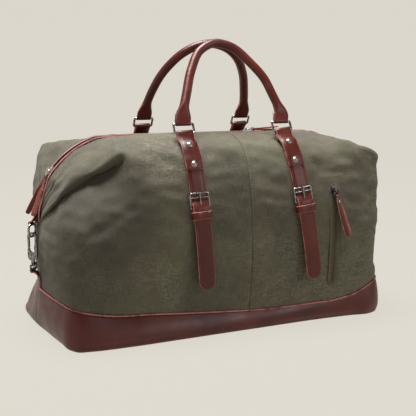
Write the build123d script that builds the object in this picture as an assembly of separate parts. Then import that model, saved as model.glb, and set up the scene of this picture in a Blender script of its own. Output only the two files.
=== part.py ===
"""Canvas and leather weekender duffel bag.

Frame: +X runs to the bag's right along its length, -Y is the front with the buckled
straps, +Z is up.  The origin is the centre of the underside, on the surface the bag
stands on.  All lengths are millimetres.
"""
from build123d import *
import math
import os

# ---------------------------------------------------------------- driving dimensions
END_X = 274.0            # end seam, on the centre line
CORNER_X = 250.0         # end corners of the bag in plan
CORNER_Y = 128.0
BASE_HALF = 118.0        # half width of the flat bottom
LOW_Z = 30.0             # the front bulges out from the base up to this height
FACE_Y = 128.0           # half width where the long face arc starts and ends
BELLY_Y = 140.0          # widest point of the face
BELLY_Z = 140.0
SHOULDER_Y = 124.0
SHOULDER_Z = 240.0
TOP_Z = 291.0            # top edge, along the zipper
STRAIGHT_X = (-135.0, 176.0)   # stretch in which every cross-section is the same
SEAM_X = 19.0            # vertical centre seam
WALL = 2.4               # canvas or leather wall
LINING = (2.7, 3.5)      # depth of the lining below the outer surface
STRIP_HALF = 14.0        # flat strip along the zipper
SLOT_HALF = 11.0         # opening between the two canvas edges
LINING_SLOT_HALF = 17.0

STRAP_W = 25.0
STRAP_T = 2.2
WIRE_R = 1.8             # ring wire

# centre line of each tab and strap: x at STRAP_TOP_Z and drift towards +X per mm downwards
STRAP_TOP_Z = 285.0
STRAPS = {"front_left": (-68.0, 0.053), "front_right": (94.0, 0.122),
          "back_left": (-81.0, 0.03), "back_right": (95.0, 0.06)}

RING_W = 34.5            # handle ring, outside
RING_H = 19.0
HINGE_Y = 87.0           # lower bar of each ring
HINGE_Z = 299.0
LEAN = 30.0              # handles lean inwards from the vertical, degrees
HANDLE_R = 7.8
CORE_R = 5.2
PADDLE_H = 42.0          # a handle is flat below this height above the ring's lower bar

TAB_LOW_Z = 247.7
RIVET_Z = (280.0, 254.6)
RIVET_HEAD_R = 5.2
POST_R = 2.0
HOLE_R = 2.05

BUCKLE_W = 32.0
BUCKLE_R = 1.5
BUCKLE_TOP_Z = 215.0
BAR_LIFT = 5.0           # top bar above the face
HEEL_Z = 193.0
HEEL_LIFT = 3.9
KEEPER_Z = 183.5
KEEPER_H = 11.0

POCKET_X = 159.0
POCKET_Z = (57.0, 218.0)
POCKET_SLIDER_Z = 208.0

ZIP_END_Z = 165.0        # lower end of the main zipper at each end of the bag
LEFT_SLIDER_X = -252.0
RIGHT_SLIDER_X = 70.0
BAIL_R = 0.9
BAIL_LONG = 10.4
CROWN_LIFT = 2.5
SLIDER_LONG = 15.0
SLIDER_LIFT = (0.6, 2.4)
LEFT_PULL_TILT = 28.0    # pulls hang a little away from the bag, degrees
POCKET_PULL_TILT = 8.0

END_PIVOT_Z = 163.0      # upper bar of the end rings
END_RING_X = 283.5
END_TURN = 35.0          # end rings are turned about the vertical, degrees
END_RING_W = 24.0
END_RING_H = 23.0
END_WIRE_R = 1.6
END_GAP = END_RING_H - 2 * END_WIRE_R
HOOK_T = 4.0
JAW_TOP_Z = 145.7
JAW_LOW_Z = 118.0
GATE_Z = (120.4, 140.0)
PIN_R = 1.3
EYE_LOW_Z = 88.0
END_POST = 8.0           # length of the end rivet's shank
END_RIVET_Z = 69.0

BOTTOM_X = 232.0
BOTTOM_Y = 106.0
BOARD_X = 228.0
BOARD_Y = 104.0
BOARD_T = 3.0

PIPE_POINTS = [(-300, 62), (-262, 60), (-243, 55), (-198, 45), (-130, 40), (-60, 35),
               (0, 31), (50, 28.5), (124, 29.5), (178, 32), (215, 41), (240, 54), (262, 60), (300, 62)]

# zipper line seen from the front: a steep end, a wide arc and a level top
ARC_LOW = (-258.0, 232.0)
ARC_MID = (-226.0, 267.0)
ARC_TOP = (-186.0, 288.5)


def circle_through(a, b, c):
    """Centre and radius of the circle through three points."""
    d = 2 * (a[0] * (b[1] - c[1]) + b[0] * (c[1] - a[1]) + c[0] * (a[1] - b[1]))
    sa, sb, sc = (p[0] ** 2 + p[1] ** 2 for p in (a, b, c))
    u = (sa * (b[1] - c[1]) + sb * (c[1] - a[1]) + sc * (a[1] - b[1])) / d
    v = (sa * (c[0] - b[0]) + sb * (a[0] - c[0]) + sc * (b[0] - a[0])) / d
    return (u, v), math.dist((u, v), a)


FACE_CENTRE, FACE_R = circle_through((-FACE_Y, LOW_Z), (-BELLY_Y, BELLY_Z), (-SHOULDER_Y, SHOULDER_Z))
ARC_CENTRE, ARC_R = circle_through(ARC_LOW, ARC_MID, ARC_TOP)


def face_y(z):
    """Distance of the long face from the centre plane at height z."""
    return math.sqrt(FACE_R ** 2 - (z - FACE_CENTRE[1]) ** 2) - FACE_CENTRE[0]


def arc_z(x):
    """Height of the zipper arc at the left end; mirrored for the right end."""
    return ARC_CENTRE[1] + math.sqrt(ARC_R ** 2 - (x - ARC_CENTRE[0]) ** 2)


# ---------------------------------------------------------------- helpers
def normals(points):
    """Unit left-hand normals of an open polyline."""
    out = []
    for i in range(len(points)):
        a = points[max(i - 1, 0)]
        b = points[min(i + 1, len(points) - 1)]
        dx, dy = b[0] - a[0], b[1] - a[1]
        length = math.hypot(dx, dy)
        out.append((-dy / length, dx / length))
    return out


def offset(points, distance):
    return [(p[0] + n[0] * distance, p[1] + n[1] * distance) for p, n in zip(points, normals(points))]


def band(points, low, high, plane, start, end):
    """A layer between two offsets of an open outline, pulled from start to end along the plane normal."""
    a = offset(points, low)
    b = offset(points, high)
    edges = [Spline(*a), Line(a[-1], b[-1]), Spline(*reversed(b)), Line(b[0], a[0])]
    face = plane * make_face(edges)
    shift = plane.z_dir
    solid = extrude(face, amount=end - start)
    return Pos(shift.X * start, shift.Y * start, shift.Z * start) * solid


def prism_y(face2d, y0, y1):
    """Extrude an X-Z outline from y0 to y1."""
    low, high = min(y0, y1), max(y0, y1)
    return Pos(0, high, 0) * extrude(Plane.XZ * face2d, amount=high - low)


def rod(a, b, radius):
    """Round bar between two points."""
    a, b = Vector(*a), Vector(*b)
    plane = Plane(origin=a, z_dir=b - a)
    return extrude(plane * Circle(radius), amount=(b - a).length)


def wire_loop(width, height, radius, corner, plane):
    """Rectangular ring bent from round wire, centred on the plane, sizes outside."""
    path = plane * RectangleRounded(width - 2 * radius, height - 2 * radius, corner).wire()
    start = path @ 0
    tangent = path % 0
    return sweep(Plane(origin=start, z_dir=tangent) * Circle(radius), path=path)


def save(node, shape):
    if isinstance(shape, ShapeList) or isinstance(shape, list):
        shape = Compound(children=list(shape))
    export_step(shape, f"parts/{node}.step")


# ---------------------------------------------------------------- bag body
def straight_side():
    """Half section of the straight stretch, from the zipper strip down to the base."""
    return [(STRIP_HALF, TOP_Z), (50, TOP_Z + 3), (84, TOP_Z + 1), (104, 278), (115, 261),
            (SHOULDER_Y, SHOULDER_Z), (face_y(190), 190), (BELLY_Y, BELLY_Z),
            (face_y(85), 85), (FACE_Y, LOW_Z), (BASE_HALF, 0)]


def end_side(strip_z, mid, ridge, brow, shoulder, belly):
    """Half section near an end: the strip, the valley side, the ear's ridge and the face below it."""
    return [(STRIP_HALF, strip_z), mid, ridge, brow, shoulder, belly,
            (face_y(85) - (BELLY_Y - belly[0]) * 0.6, 80), (FACE_Y, LOW_Z), (BASE_HALF, 0)]


def resample(points, count=12):
    """The same outline with a fixed number of points, evenly spread along its length."""
    steps = [0.0]
    for a, b in zip(points, points[1:]):
        steps.append(steps[-1] + math.dist(a, b))
    out = []
    for i in range(count):
        target = steps[-1] * i / (count - 1)
        k = max(j for j in range(len(points) - 1) if steps[j] <= target + 1e-9)
        f = min((target - steps[k]) / (steps[k + 1] - steps[k]), 1.0)
        a, b = points[k], points[k + 1]
        out.append((a[0] + (b[0] - a[0]) * f, a[1] + (b[1] - a[1]) * f))
    return out


# (x, height of the strip, front half, back half); the front-left corner is pulled down,
# the other three corners stand up as pointed ears
STATIONS = [
    (-282, 150, ((40, 146), (68, 138), (92, 124), (108, 104), (118, 85)),
     ((46, 190), (84, 226), (104, 222), (116, 190), (124, 140))),
    (-266, 206, ((42, 190), (70, 172), (96, 158), (112, 138), (128, 110)),
     ((50, 224), (92, 250), (110, 244), (120, 205), (133, 140))),
    (-258, ARC_LOW[1], ((43, 207), (72, 188), (98, 174), (115, 152), (131, 118)),
     ((52, 240), (95, 260), (112, 252), (121, 213), (135, 140))),
    (-244, arc_z(-244), ((44, 230), (74, 210), (101, 196), (118, 173), (134, 128)),
     ((54, 258), (99, 269), (113, 260), (122, 222), (136, 140))),
    (-226, arc_z(-226), ((44, 256), (76, 236), (104, 222), (120, 195), (136, 135)),
     ((54, 272), (100, 276), (115, 264), (124, 228), (138, 140))),
    (-206, arc_z(-206), ((45, 271), (78, 253), (105, 238), (121, 209), (137, 138)),
     ((53, 282), (96, 282), (112, 268), (124, 232), (139, 140))),
    (-186, arc_z(-186), ((46, 284), (80, 268), (106, 252), (122, 222), (138, 140)),
     ((52, 290), (92, 287), (110, 271), (124, 236), (140, 140))),
]


def section(x, strip_z, front, back, inset):
    """One closed cross-section of the body, drawn in the plane X = x."""
    def side(points):
        inner = offset(resample(points), -inset)
        inner[0] = (STRIP_HALF, points[0][1] - inset)
        inner[-1] = (BASE_HALF - inset, inset)
        return inner

    f = [(x, -y, z) for y, z in side(front)]
    b = [(x, y, z) for y, z in side(back)]
    return make_face(Polyline(*f, *reversed(b), close=True))


def plan_prism(inset):
    """The bag's plan: open front and back, ends bowed out to the end seams."""
    ends = []
    for sign in (-1, 1):
        corner = sign * (CORNER_X - inset)
        ends.append(ThreePointArc((corner, -CORNER_Y * sign), (sign * (END_X - inset), 0), (corner, CORNER_Y * sign)))
    left, right = ends
    far = 200.0
    points = [right @ 1, (CORNER_X - inset, far), (-CORNER_X + inset, far), left @ 0]
    back = Polyline(*points)
    front = Polyline(left @ 1, (-CORNER_X + inset, -far), (CORNER_X - inset, -far), right @ 0)
    return Pos(0, 0, -10) * extrude(make_face([left, right, back, front]), amount=350)


def body_solid(inset):
    """The bag's outer form, moved in by inset."""
    faces = []
    for x, strip_z, front, back in STATIONS:
        f = end_side(strip_z, *front)
        b = end_side(strip_z, *back)
        faces.append(section(x, strip_z, f, b, inset))
    for x in STRAIGHT_X:
        faces.append(section(x, TOP_Z, straight_side(), straight_side(), inset))
    for x, strip_z, front, back in reversed(STATIONS):
        ear = end_side(strip_z, *back)
        faces.append(section(-x, strip_z, ear, ear, inset))
    return loft(faces, ruled=True) & plan_prism(inset)



def pipe_region(lift):
    """Everything below the top edge of the leather base, raised by lift."""
    points = [(x, z + lift) for x, z in PIPE_POINTS]
    face = make_face([Spline(*points), Polyline(points[-1], (300, -20), (-300, -20), points[0])])
    return prism_y(face, -200, 200)


def boxed(x0, x1, y0, y1, z0, z1):
    return Pos((x0 + x1) / 2, (y0 + y1) / 2, (z0 + z1) / 2) * Box(x1 - x0, y1 - y0, z1 - z0)


def drill(panel, posts):
    """Cut the rivet holes, one at a time."""
    for post in posts:
        panel = panel - post
    return panel


def body_parts(outer, posts):
    """Canvas panels, leather base, lining and the stiff board, with holes for the rivet posts."""
    shell = outer - body_solid(WALL)
    leather = shell & pipe_region(0)
    canvas = shell - pipe_region(0) - boxed(-300, 300, -SLOT_HALF, SLOT_HALF, ZIP_END_Z, 400)
    bottom_zone = boxed(-BOTTOM_X, BOTTOM_X, -BOTTOM_Y, BOTTOM_Y, -1, WALL + 1)
    bottom = leather & bottom_zone
    rim = leather - bottom_zone
    save("base_bottom", bottom)
    save("base_leather_front", rim & boxed(-300, 300, -200, 0, -20, 120))
    save("base_leather_back", rim & boxed(-300, 300, 0, 200, -20, 120))
    sides = {"front": (-200, 0), "back": (0, 200)}
    for side, (y0, y1) in sides.items():
        save(f"canvas_{side}_left", drill(canvas & boxed(-300, SEAM_X, y0, y1, -20, 400), posts))
        save(f"canvas_{side}_right", drill(canvas & boxed(SEAM_X, 300, y0, y1, -20, 400), posts))
    lining = body_solid(LINING[0]) - body_solid(LINING[1])
    lining = lining - boxed(-300, 300, -LINING_SLOT_HALF, LINING_SLOT_HALF, ZIP_END_Z - 8, 400)
    save("lining", drill(lining, posts))
    pipe = (body_solid(-0.8) - outer) & (pipe_region(1.6) - pipe_region(-1.2))
    save("base_piping", pipe - boxed(-300, 300, -10.5, 10.5, 0, 120))
    board = Pos(0, 0, LINING[1] + 0.2) * extrude(RectangleRounded(2 * BOARD_X, 2 * BOARD_Y, 12), amount=BOARD_T)
    save("base_board", board)


# ---------------------------------------------------------------- front face and straps
TOP_CORNER = [(-SHOULDER_Y, SHOULDER_Z), (-115.0, 261.0), (-104.0, 278.0), (-92.0, 288.5)]


def face_point(z):
    """Point (y, z) of the front face."""
    if z <= SHOULDER_Z:
        return (-face_y(z), z)
    for a, b in zip(TOP_CORNER, TOP_CORNER[1:]):
        if z <= b[1]:
            f = (z - a[1]) / (b[1] - a[1])
            return (a[0] + (b[0] - a[0]) * f, z)
    return TOP_CORNER[-1]


def face_tilt(z):
    """Angle of the face's outward normal above the horizontal."""
    a, b = face_point(z - 3), face_point(z + 3)
    return math.atan2(b[0] - a[0], b[1] - a[1])


def strap_x(name, z):
    top, drift = STRAPS[name]
    return top + (STRAP_TOP_Z - z) * drift


def strap_plane(name, z, lift):
    """Plane on the front face at a strap: x across the strap, y up along it, z outwards."""
    return face_plane(strap_x(name, z), z, math.atan(STRAPS[name][1]), lift)


def face_plane(x, z, lean, lift):
    y, z = face_point(z)
    tilt = face_tilt(z)
    normal = Vector(0, -math.cos(tilt), math.sin(tilt))
    up = Vector(-math.sin(lean), math.sin(tilt) * math.cos(lean), math.cos(tilt) * math.cos(lean))
    return Plane(origin=Vector(x, y, z) + normal * lift, x_dir=up.cross(normal), z_dir=normal)


def strip_face(name, low, high, width, tip=None):
    """Leaning strip seen from the front; its lower end is square, round or pointed."""
    ax, bx = strap_x(name, low), strap_x(name, high)
    half = width / 2
    face = make_face(Polyline((ax - half, low), (ax + half, low), (bx + half, high), (bx - half, high), close=True))
    if tip == "round":
        face = face + Pos(ax, low) * Circle(half)
    if tip == "point":
        face = face + make_face(Polyline((ax - half, low), (ax + half, low), (ax, low - half), close=True))
    return face


def layer(path, thickness):
    """Leather of one thickness along (height, lift) pairs, lowest first."""
    points = []
    for z, lift in path:
        y, zz = face_point(z)
        tilt = face_tilt(z)
        points.append((y - math.cos(tilt) * lift, zz + math.sin(tilt) * lift))
    return band(points, 0, thickness, Plane.YZ, -300, 300)


def front_cut(face):
    return prism_y(face, -220, 0)


def strap(name):
    """Long strap: under the tab and the buckle's bars, over its heel, through the keeper, tip standing off."""
    path = [(60, 14.4), (78, 12.6), (104, 10.2), (135, 7.8), (162, 6.4), (180, 6.4), (193, 7.7),
            (199, 5.2), (205, 1.6), (210, 0.8), (220, 0.7), (240, 0.6), (250, 0.6), (258, 0.6), (268, 0.6)]
    solid = layer(path, STRAP_T) & front_cut(strip_face(name, 78 + STRAP_W / 2, 268, STRAP_W, "round"))
    return solid - front_cut(strip_face(name, HEEL_Z - 2, HEEL_Z + 15, 3.6))


def across_plane(plane):
    """Plane whose normal runs across the strap."""
    return Plane(origin=plane.origin, x_dir=plane.y_dir, z_dir=plane.x_dir)


def chape(name):
    """Short strip sewn to the canvas that holds the buckle's heel bar in its fold."""
    flat = layer([(150, 0.6), (170, 0.6), (HEEL_Z - 1, 0.6)], 1.7)
    flat = flat & front_cut(strip_face(name, 172, HEEL_Z - 1.5, STRAP_W - 1, "point"))
    across = across_plane(strap_plane(name, HEEL_Z, HEEL_LIFT))
    loop = extrude(across * (Circle(HEEL_LIFT - 0.6) - Circle(BUCKLE_R + 0.05)), amount=(STRAP_W - 1) / 2, both=True)
    slot = extrude(across * (Pos(3.7, 2.8) * Rectangle(14, 12.6)), amount=2.0, both=True)
    return flat + loop - slot


def buckle_frame(name):
    """Heel-bar buckle: outer frame with a second bar just below its top bar."""
    low = strap_plane(name, HEEL_Z, HEEL_LIFT)
    top = strap_plane(name, BUCKLE_TOP_Z, BAR_LIFT)
    rise = top.origin - low.origin
    up = rise.normalized()
    across = low.x_dir
    plane = Plane(origin=(low.origin + top.origin) / 2, x_dir=across, z_dir=across.cross(up))
    frame = wire_loop(BUCKLE_W, rise.length + 2 * BUCKLE_R, BUCKLE_R, 3.0, plane)
    half = across * (BUCKLE_W / 2 - BUCKLE_R)
    second = top.origin - up * 6.2
    return frame + rod(second - half, second + half, 1.3)


def prong(name):
    """Tongue that turns on the heel bar and rests on the two upper bars."""
    low = strap_plane(name, HEEL_Z, HEEL_LIFT)
    top = strap_plane(name, BUCKLE_TOP_Z, BAR_LIFT + BUCKLE_R + 1.4)
    eye_r = BUCKLE_R + 0.08
    eye = extrude(across_plane(low) * (Circle(eye_r + 1.3) - Circle(eye_r)), amount=1.1, both=True)
    finger = rod(low.origin + low.z_dir * (eye_r + 1.25), top.origin + top.y_dir * 1.5, 1.1)
    return eye + finger


def keeper(name):
    """Leather loop that holds the strap below the buckle."""
    plane = strap_plane(name, KEEPER_Z, 0.5)
    outer = plane * Pos(0, 0, 5.8) * Box(STRAP_W + 5.2, KEEPER_H, 11.6)
    return outer - plane * Pos(0, 0, 4.0) * Box(STRAP_W + 1.6, KEEPER_H + 2, 12.0)


def to_side(name, shape):
    """Front pieces stay; back pieces are turned to the back face."""
    return mirror(shape, about=Plane.XZ) if name.startswith("back") else shape


def ring_tab(name, outer, rivets):
    """Leather folded over the ring's lower bar and riveted to the bag."""
    front = layer([(230, 3.0), (240, 3.0), (250, 3.0), (258, 3.0), (268, 3.0), (278, 2.9), (286, 2.7)], STRAP_T)
    back = layer([(262, 0.6), (270, 0.6), (278, 0.6), (286, 0.6)], 1.9)
    front = front & front_cut(strip_face(name, TAB_LOW_Z, 284, STRAP_W + 0.6))
    back = back & front_cut(strip_face(name, 270, 284, STRAP_W + 0.6))
    x = strap_x(name, HINGE_Z) - STRAP_W / 2
    neck = make_face(Polyline((-106.6, 281.0), (-99.0, 288.5), (-91.3, 299), (-82.7, 299), (-86.0, 293.0),
                              (-97.0, 285.6), (-101.4, 280.6), close=True))
    hinge = Plane(origin=(x, -HINGE_Y, HINGE_Z), x_dir=(0, 1, 0), z_dir=(1, 0, 0))
    fold = Pos(x, 0, 0) * extrude(Plane.YZ * neck, amount=STRAP_W) + extrude(hinge * Circle(4.3), amount=STRAP_W)
    fold = fold - extrude(hinge * Circle(WIRE_R + 0.08), amount=STRAP_W)
    return to_side(name, (front + back + fold) - outer - rivets)


def shank(plane, depth, radius):
    """Rivet shank, or the hole for it, running inwards from a plane."""
    return plane * Pos(0, 0, -depth / 2) * Cylinder(radius, depth)


def rivet(plane, depth):
    """Domed head on a plane, shank through the layers and a washer on the inner end."""
    height = 2.6
    ball = (RIVET_HEAD_R ** 2 + height ** 2) / (2 * height)
    dome = plane * (Pos(0, 0, height - ball) * Sphere(ball) & Pos(0, 0, height / 2) * Cylinder(8, height))
    washer = plane * Pos(0, 0, -depth - 0.5) * Cylinder(4.0, 1.0)
    return dome + shank(plane, depth, POST_R) + washer


TAB_LIFT = 3.0 + STRAP_T
# height of each rivet and the depth from the tab's face to the back of the lining there
RIVET_GRIP = {RIVET_Z[0]: 11.7, RIVET_Z[1]: 9.9}


def tab_holes(name):
    """Rivet holes of one tab, in front-face coordinates."""
    return [shank(strap_plane(name, z, TAB_LIFT), grip, HOLE_R) for z, grip in RIVET_GRIP.items()]


def tab_rivets(name):
    return [rivet(strap_plane(name, z, TAB_LIFT), grip) for z, grip in RIVET_GRIP.items()]


# ---------------------------------------------------------------- handles
def lean_plane(x, height):
    """Plane of the leaning handle: x across, y up the lean; height is measured from the lower ring bar."""
    lean = math.radians(LEAN)
    up = Vector(0, math.sin(lean), math.cos(lean))
    origin = Vector(x, -HINGE_Y, HINGE_Z) + up * height
    return Plane(origin=origin, x_dir=(1, 0, 0), z_dir=Vector(1, 0, 0).cross(up))


BAR_GAP = RING_H - 2 * WIRE_R


def handle_ring(name):
    plane = lean_plane(strap_x(name, HINGE_Z), BAR_GAP / 2)
    return to_side(name, wire_loop(RING_W, RING_H, WIRE_R, 2.6, plane))


# share of the span between the rings, and height above their lower bars
ARCH = [(0.05, 42), (0.09, 64), (0.19, 104), (0.35, 141), (0.50, 151.5), (0.66, 143), (0.81, 113),
        (0.91, 78), (0.965, 42)]


def handle(side):
    """Rolled leather handle with flat folded ends round the ring bars, and its rope core."""
    left, right = (strap_x(f"{side}_{end}", HINGE_Z) for end in ("left", "right"))
    span = right - left
    points = [(left + span * f, h) for f, h in ARCH]
    base = lean_plane(0, 0)
    path = base * Spline(*points)
    grip_plane = Plane(origin=path @ 0, z_dir=path % 0)
    grip = sweep(grip_plane * Circle(HANDLE_R), path=path)
    core = sweep(grip_plane * Circle(CORE_R), path=path)
    leather = grip - core
    for x, end, direction in ((left, path @ 0, path % 0), (right, path @ 1, -(path % 1))):
        foot = lean_plane(x, BAR_GAP + 3.0)
        flat = Plane(origin=foot.origin, x_dir=(1, 0, 0), z_dir=foot.y_dir)
        neck = Plane(origin=end, x_dir=(1, 0, 0), z_dir=direction)
        leather = leather + loft([flat * Rectangle(24.6, 6.4), neck * Circle(HANDLE_R)])
        bar = Plane(origin=lean_plane(x, BAR_GAP).origin, x_dir=(0, 1, 0), z_dir=(1, 0, 0))
        leather = leather + extrude(bar * Circle(4.4), amount=12.3, both=True)
        leather = leather - extrude(bar * Circle(WIRE_R + 0.08), amount=14, both=True)
    return to_side(side, leather), to_side(side, core)


# ---------------------------------------------------------------- main zipper
def arc_points(low_x, high_x, count):
    return [(low_x + (high_x - low_x) * i / (count - 1), arc_z(low_x + (high_x - low_x) * i / (count - 1)))
            for i in range(count)]


def zip_line():
    """Zipper line seen from the front, left end first; offsets point outwards."""
    left = [(-END_X, ZIP_END_Z + 1.5), (-END_X + 0.4, 180), (-END_X + 7.6, 206), (-END_X + 12, 220)]
    left = left + arc_points(ARC_LOW[0], ARC_TOP[0], 6) + [(-160, TOP_Z - 0.9), (STRAIGHT_X[0], TOP_Z)]
    right = [(-x, z) for x, z in reversed(left[:-1])]
    return left + [(-60, TOP_Z), (60, TOP_Z), (-STRAIGHT_X[0], TOP_Z)] + right


def zip_band(low, high, y0, y1):
    """Layer along the zipper between two depths, from y0 to y1."""
    return band(zip_line(), low, high, Plane.XZ, -y1, -y0)


def main_zipper():
    tape = [zip_band(-5.0, -4.1, 2.3, 15.5), zip_band(-5.0, -4.1, -15.5, -2.3)]
    teeth = zip_band(-5.2, -2.4, -2.1, 2.1)
    save("zip_tape", tape)
    save("zip_teeth", teeth)
    save("zip_facing_front", zip_band(-3.6, 0.2, -10.8, -4.6))
    save("zip_facing_back", zip_band(-3.6, 0.2, 4.6, 10.8))


def crown(plane):
    """Bridge on a slider that carries the pull's wire; plane: x along the zip, z outwards."""
    block = plane * Pos(0, 0, 2.2) * Box(6.4, 3.0, 4.4)
    hole = Plane(origin=plane.origin + plane.z_dir * CROWN_LIFT, z_dir=plane.y_dir)
    return block - extrude(hole * Circle(BAIL_R + 0.09), amount=4, both=True)


def pull(plane, length, spread, turn):
    """Wire bail and a folded leather tail; plane at the bail's pivot: x along the tail, z away from the bag."""
    bail = wire_loop(BAIL_LONG + 2 * BAIL_R, 8.4, BAIL_R, 2.0, plane * Pos(BAIL_LONG / 2, 0, 0))
    eye = Plane(origin=plane.origin + plane.x_dir * BAIL_LONG, z_dir=plane.y_dir)
    leather = extrude(eye * (Circle(2.5) - Circle(BAIL_R + 0.1)), amount=2.0, both=True)
    end = BAIL_LONG + length
    tail = make_face(Polyline((BAIL_LONG + 1.8, -2.4), (BAIL_LONG + 12, -3.4), (end - 9, -5.0), (end, -3.2),
                              (end - 2, 4.0), (end - 12, 5.2), (BAIL_LONG + 12, 3.4), (BAIL_LONG + 1.8, 2.4),
                              close=True))
    upper = Pos(0, 0, 0.4) * extrude(tail, amount=1.5)
    lower = Pos(0, 0, -0.4) * extrude(tail, amount=-1.5)
    legs = Rot(0, 0, spread) * upper + Rot(0, 0, -spread) * lower + Pos(BAIL_LONG + 6, 0, 0) * Box(7, 4.4, 2)
    return bail, leather + plane * (Rot(0, 0, turn) * legs)


def left_slider_plane(lift):
    x, z = LEFT_SLIDER_X, arc_z(LEFT_SLIDER_X)
    out = Vector(x - ARC_CENTRE[0], 0, z - ARC_CENTRE[1]).normalized()
    return Plane(origin=Vector(x, 0, z) + out * lift, x_dir=Vector(0, 1, 0).cross(out), z_dir=out)


def main_sliders():
    """The left slider sits on the arc at the bag's end, the right one on the level top."""
    half = math.degrees(SLIDER_LONG / 2 / ARC_R)
    x, z = LEFT_SLIDER_X, arc_z(LEFT_SLIDER_X)
    middle = math.degrees(math.atan2(z - ARC_CENTRE[1], x - ARC_CENTRE[0]))
    points = []
    for k in (1, 0.5, 0, -0.5, -1):
        angle = math.radians(middle + half * k)
        points.append((ARC_CENTRE[0] + ARC_R * math.cos(angle), ARC_CENTRE[1] + ARC_R * math.sin(angle)))
    plate = band(points, SLIDER_LIFT[0], SLIDER_LIFT[1], Plane.XZ, -4.4, 4.4)
    save("main_slider_left", plate + crown(left_slider_plane(SLIDER_LIFT[1] - 0.2)))
    top = Plane(origin=(RIGHT_SLIDER_X, 0, TOP_Z), x_dir=(1, 0, 0), z_dir=(0, 0, 1))
    flat = top * Pos(0, 0, sum(SLIDER_LIFT) / 2) * Box(SLIDER_LONG, 8.8, SLIDER_LIFT[1] - SLIDER_LIFT[0])
    seat = Plane(origin=top.origin + top.z_dir * (SLIDER_LIFT[1] - 0.2), x_dir=top.x_dir, z_dir=top.z_dir)
    save("main_slider_right", flat + crown(seat))
    pivot = left_slider_plane(SLIDER_LIFT[1] - 0.2 + CROWN_LIFT).origin
    hang = math.radians(LEFT_PULL_TILT)
    down = Vector(-math.sin(hang), 0, -math.cos(hang))
    plane = Plane(origin=pivot, x_dir=down, z_dir=Vector(-math.cos(hang), 0, math.sin(hang)))
    bail, leather = pull(plane, 56, 4.5, 0)
    save("left_pull_bail", bail)
    save("left_pull", leather)
    plane = Plane(origin=seat.origin + seat.z_dir * CROWN_LIFT, x_dir=(1, 0, 0), z_dir=(0, 0, 1))
    bail, leather = pull(plane, 44, 4, 0)
    save("right_pull_bail", bail)
    save("right_pull", leather)


# ---------------------------------------------------------------- pocket
def pocket_outline(low, high):
    count = 7
    return [(-face_y(low + (high - low) * i / (count - 1)), low + (high - low) * i / (count - 1))
            for i in range(count)]


def pocket():
    """Zipped pocket on the front, right of the right strap, with its bag inside."""
    low, high = POCKET_Z
    tape_face = Pos(POCKET_X, (low + high) / 2) * RectangleRounded(15, high - low, 7)
    tape = band(pocket_outline(low - 4, high + 4), 0.3, 1.1, Plane.YZ, 100, 200) & front_cut(tape_face)
    coil = band(pocket_outline(low + 5, high - 5), 1.1, 2.3, Plane.YZ, POCKET_X - 2.2, POCKET_X + 2.2)
    save("pocket_zip", tape + coil)
    z = POCKET_SLIDER_Z
    plate = band(pocket_outline(z - 6.5, z + 6.5), 2.7, 4.3, Plane.YZ, POCKET_X - 4.6, POCKET_X + 4.6)
    seat = face_plane(POCKET_X, z, 0, 4.1)
    seat = Plane(origin=seat.origin, x_dir=-seat.y_dir, z_dir=seat.z_dir)
    save("pocket_slider", plate + crown(seat))
    pivot = seat.origin + seat.z_dir * CROWN_LIFT
    hang = math.radians(POCKET_PULL_TILT)
    down = Vector(0, -math.sin(hang), -math.cos(hang))
    plane = Plane(origin=pivot, x_dir=down, z_dir=Vector(0, -math.cos(hang), math.sin(hang)))
    bail, leather = pull(plane, 62, 4, 12)
    save("pocket_pull_bail", bail)
    save("pocket_pull", leather)
    pouch = band(pocket_outline(72, 216), -7.2, -5.4, Plane.YZ, 96, POCKET_X + 10)
    save("pocket_bag", pouch)


# ---------------------------------------------------------------- ends
TURN = math.radians(END_TURN)
BAR_DIR = Vector(math.sin(TURN), math.cos(TURN), 0)      # along the end ring's bars
HOOK_DIR = Vector(math.cos(TURN), -math.sin(TURN), 0)    # across the hook


def end_plane(z):
    """Plane of the end ring at height z: x along its bars, y up."""
    return Plane(origin=(-END_RING_X, 0, z), x_dir=BAR_DIR, z_dir=HOOK_DIR)


def bar_plane(z):
    """Plane across the end ring's bars."""
    return Plane(origin=(-END_RING_X, 0, z), x_dir=HOOK_DIR, z_dir=BAR_DIR)


def hook_plane(z):
    """Plane of the hook: x across it, y up."""
    return Plane(origin=(-END_RING_X, 0, z), x_dir=HOOK_DIR, z_dir=HOOK_DIR.cross(Vector(0, 0, 1)))


def leather_fold(z, foot_z, outer_r, hole_r, foot_x):
    """Leather that leaves the bag's end at foot_z and folds round a turned bar at height z."""
    foot = Plane(origin=(foot_x, 0, foot_z), x_dir=(0, 1, 0), z_dir=(0, 0, 1 if z > foot_z else -1))
    near = z - 1.5 if z > foot_z else z + 1.5
    rim = Plane(origin=(-END_RING_X, 0, near), x_dir=BAR_DIR, z_dir=foot.z_dir)
    web = loft([foot * Rectangle(17, 2.2), rim * Rectangle(12.4, 5.0)])
    loop = extrude(bar_plane(z) * Circle(outer_r), amount=6.2, both=True)
    return (web + loop) - extrude(bar_plane(z) * Circle(hole_r), amount=9, both=True)


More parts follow.
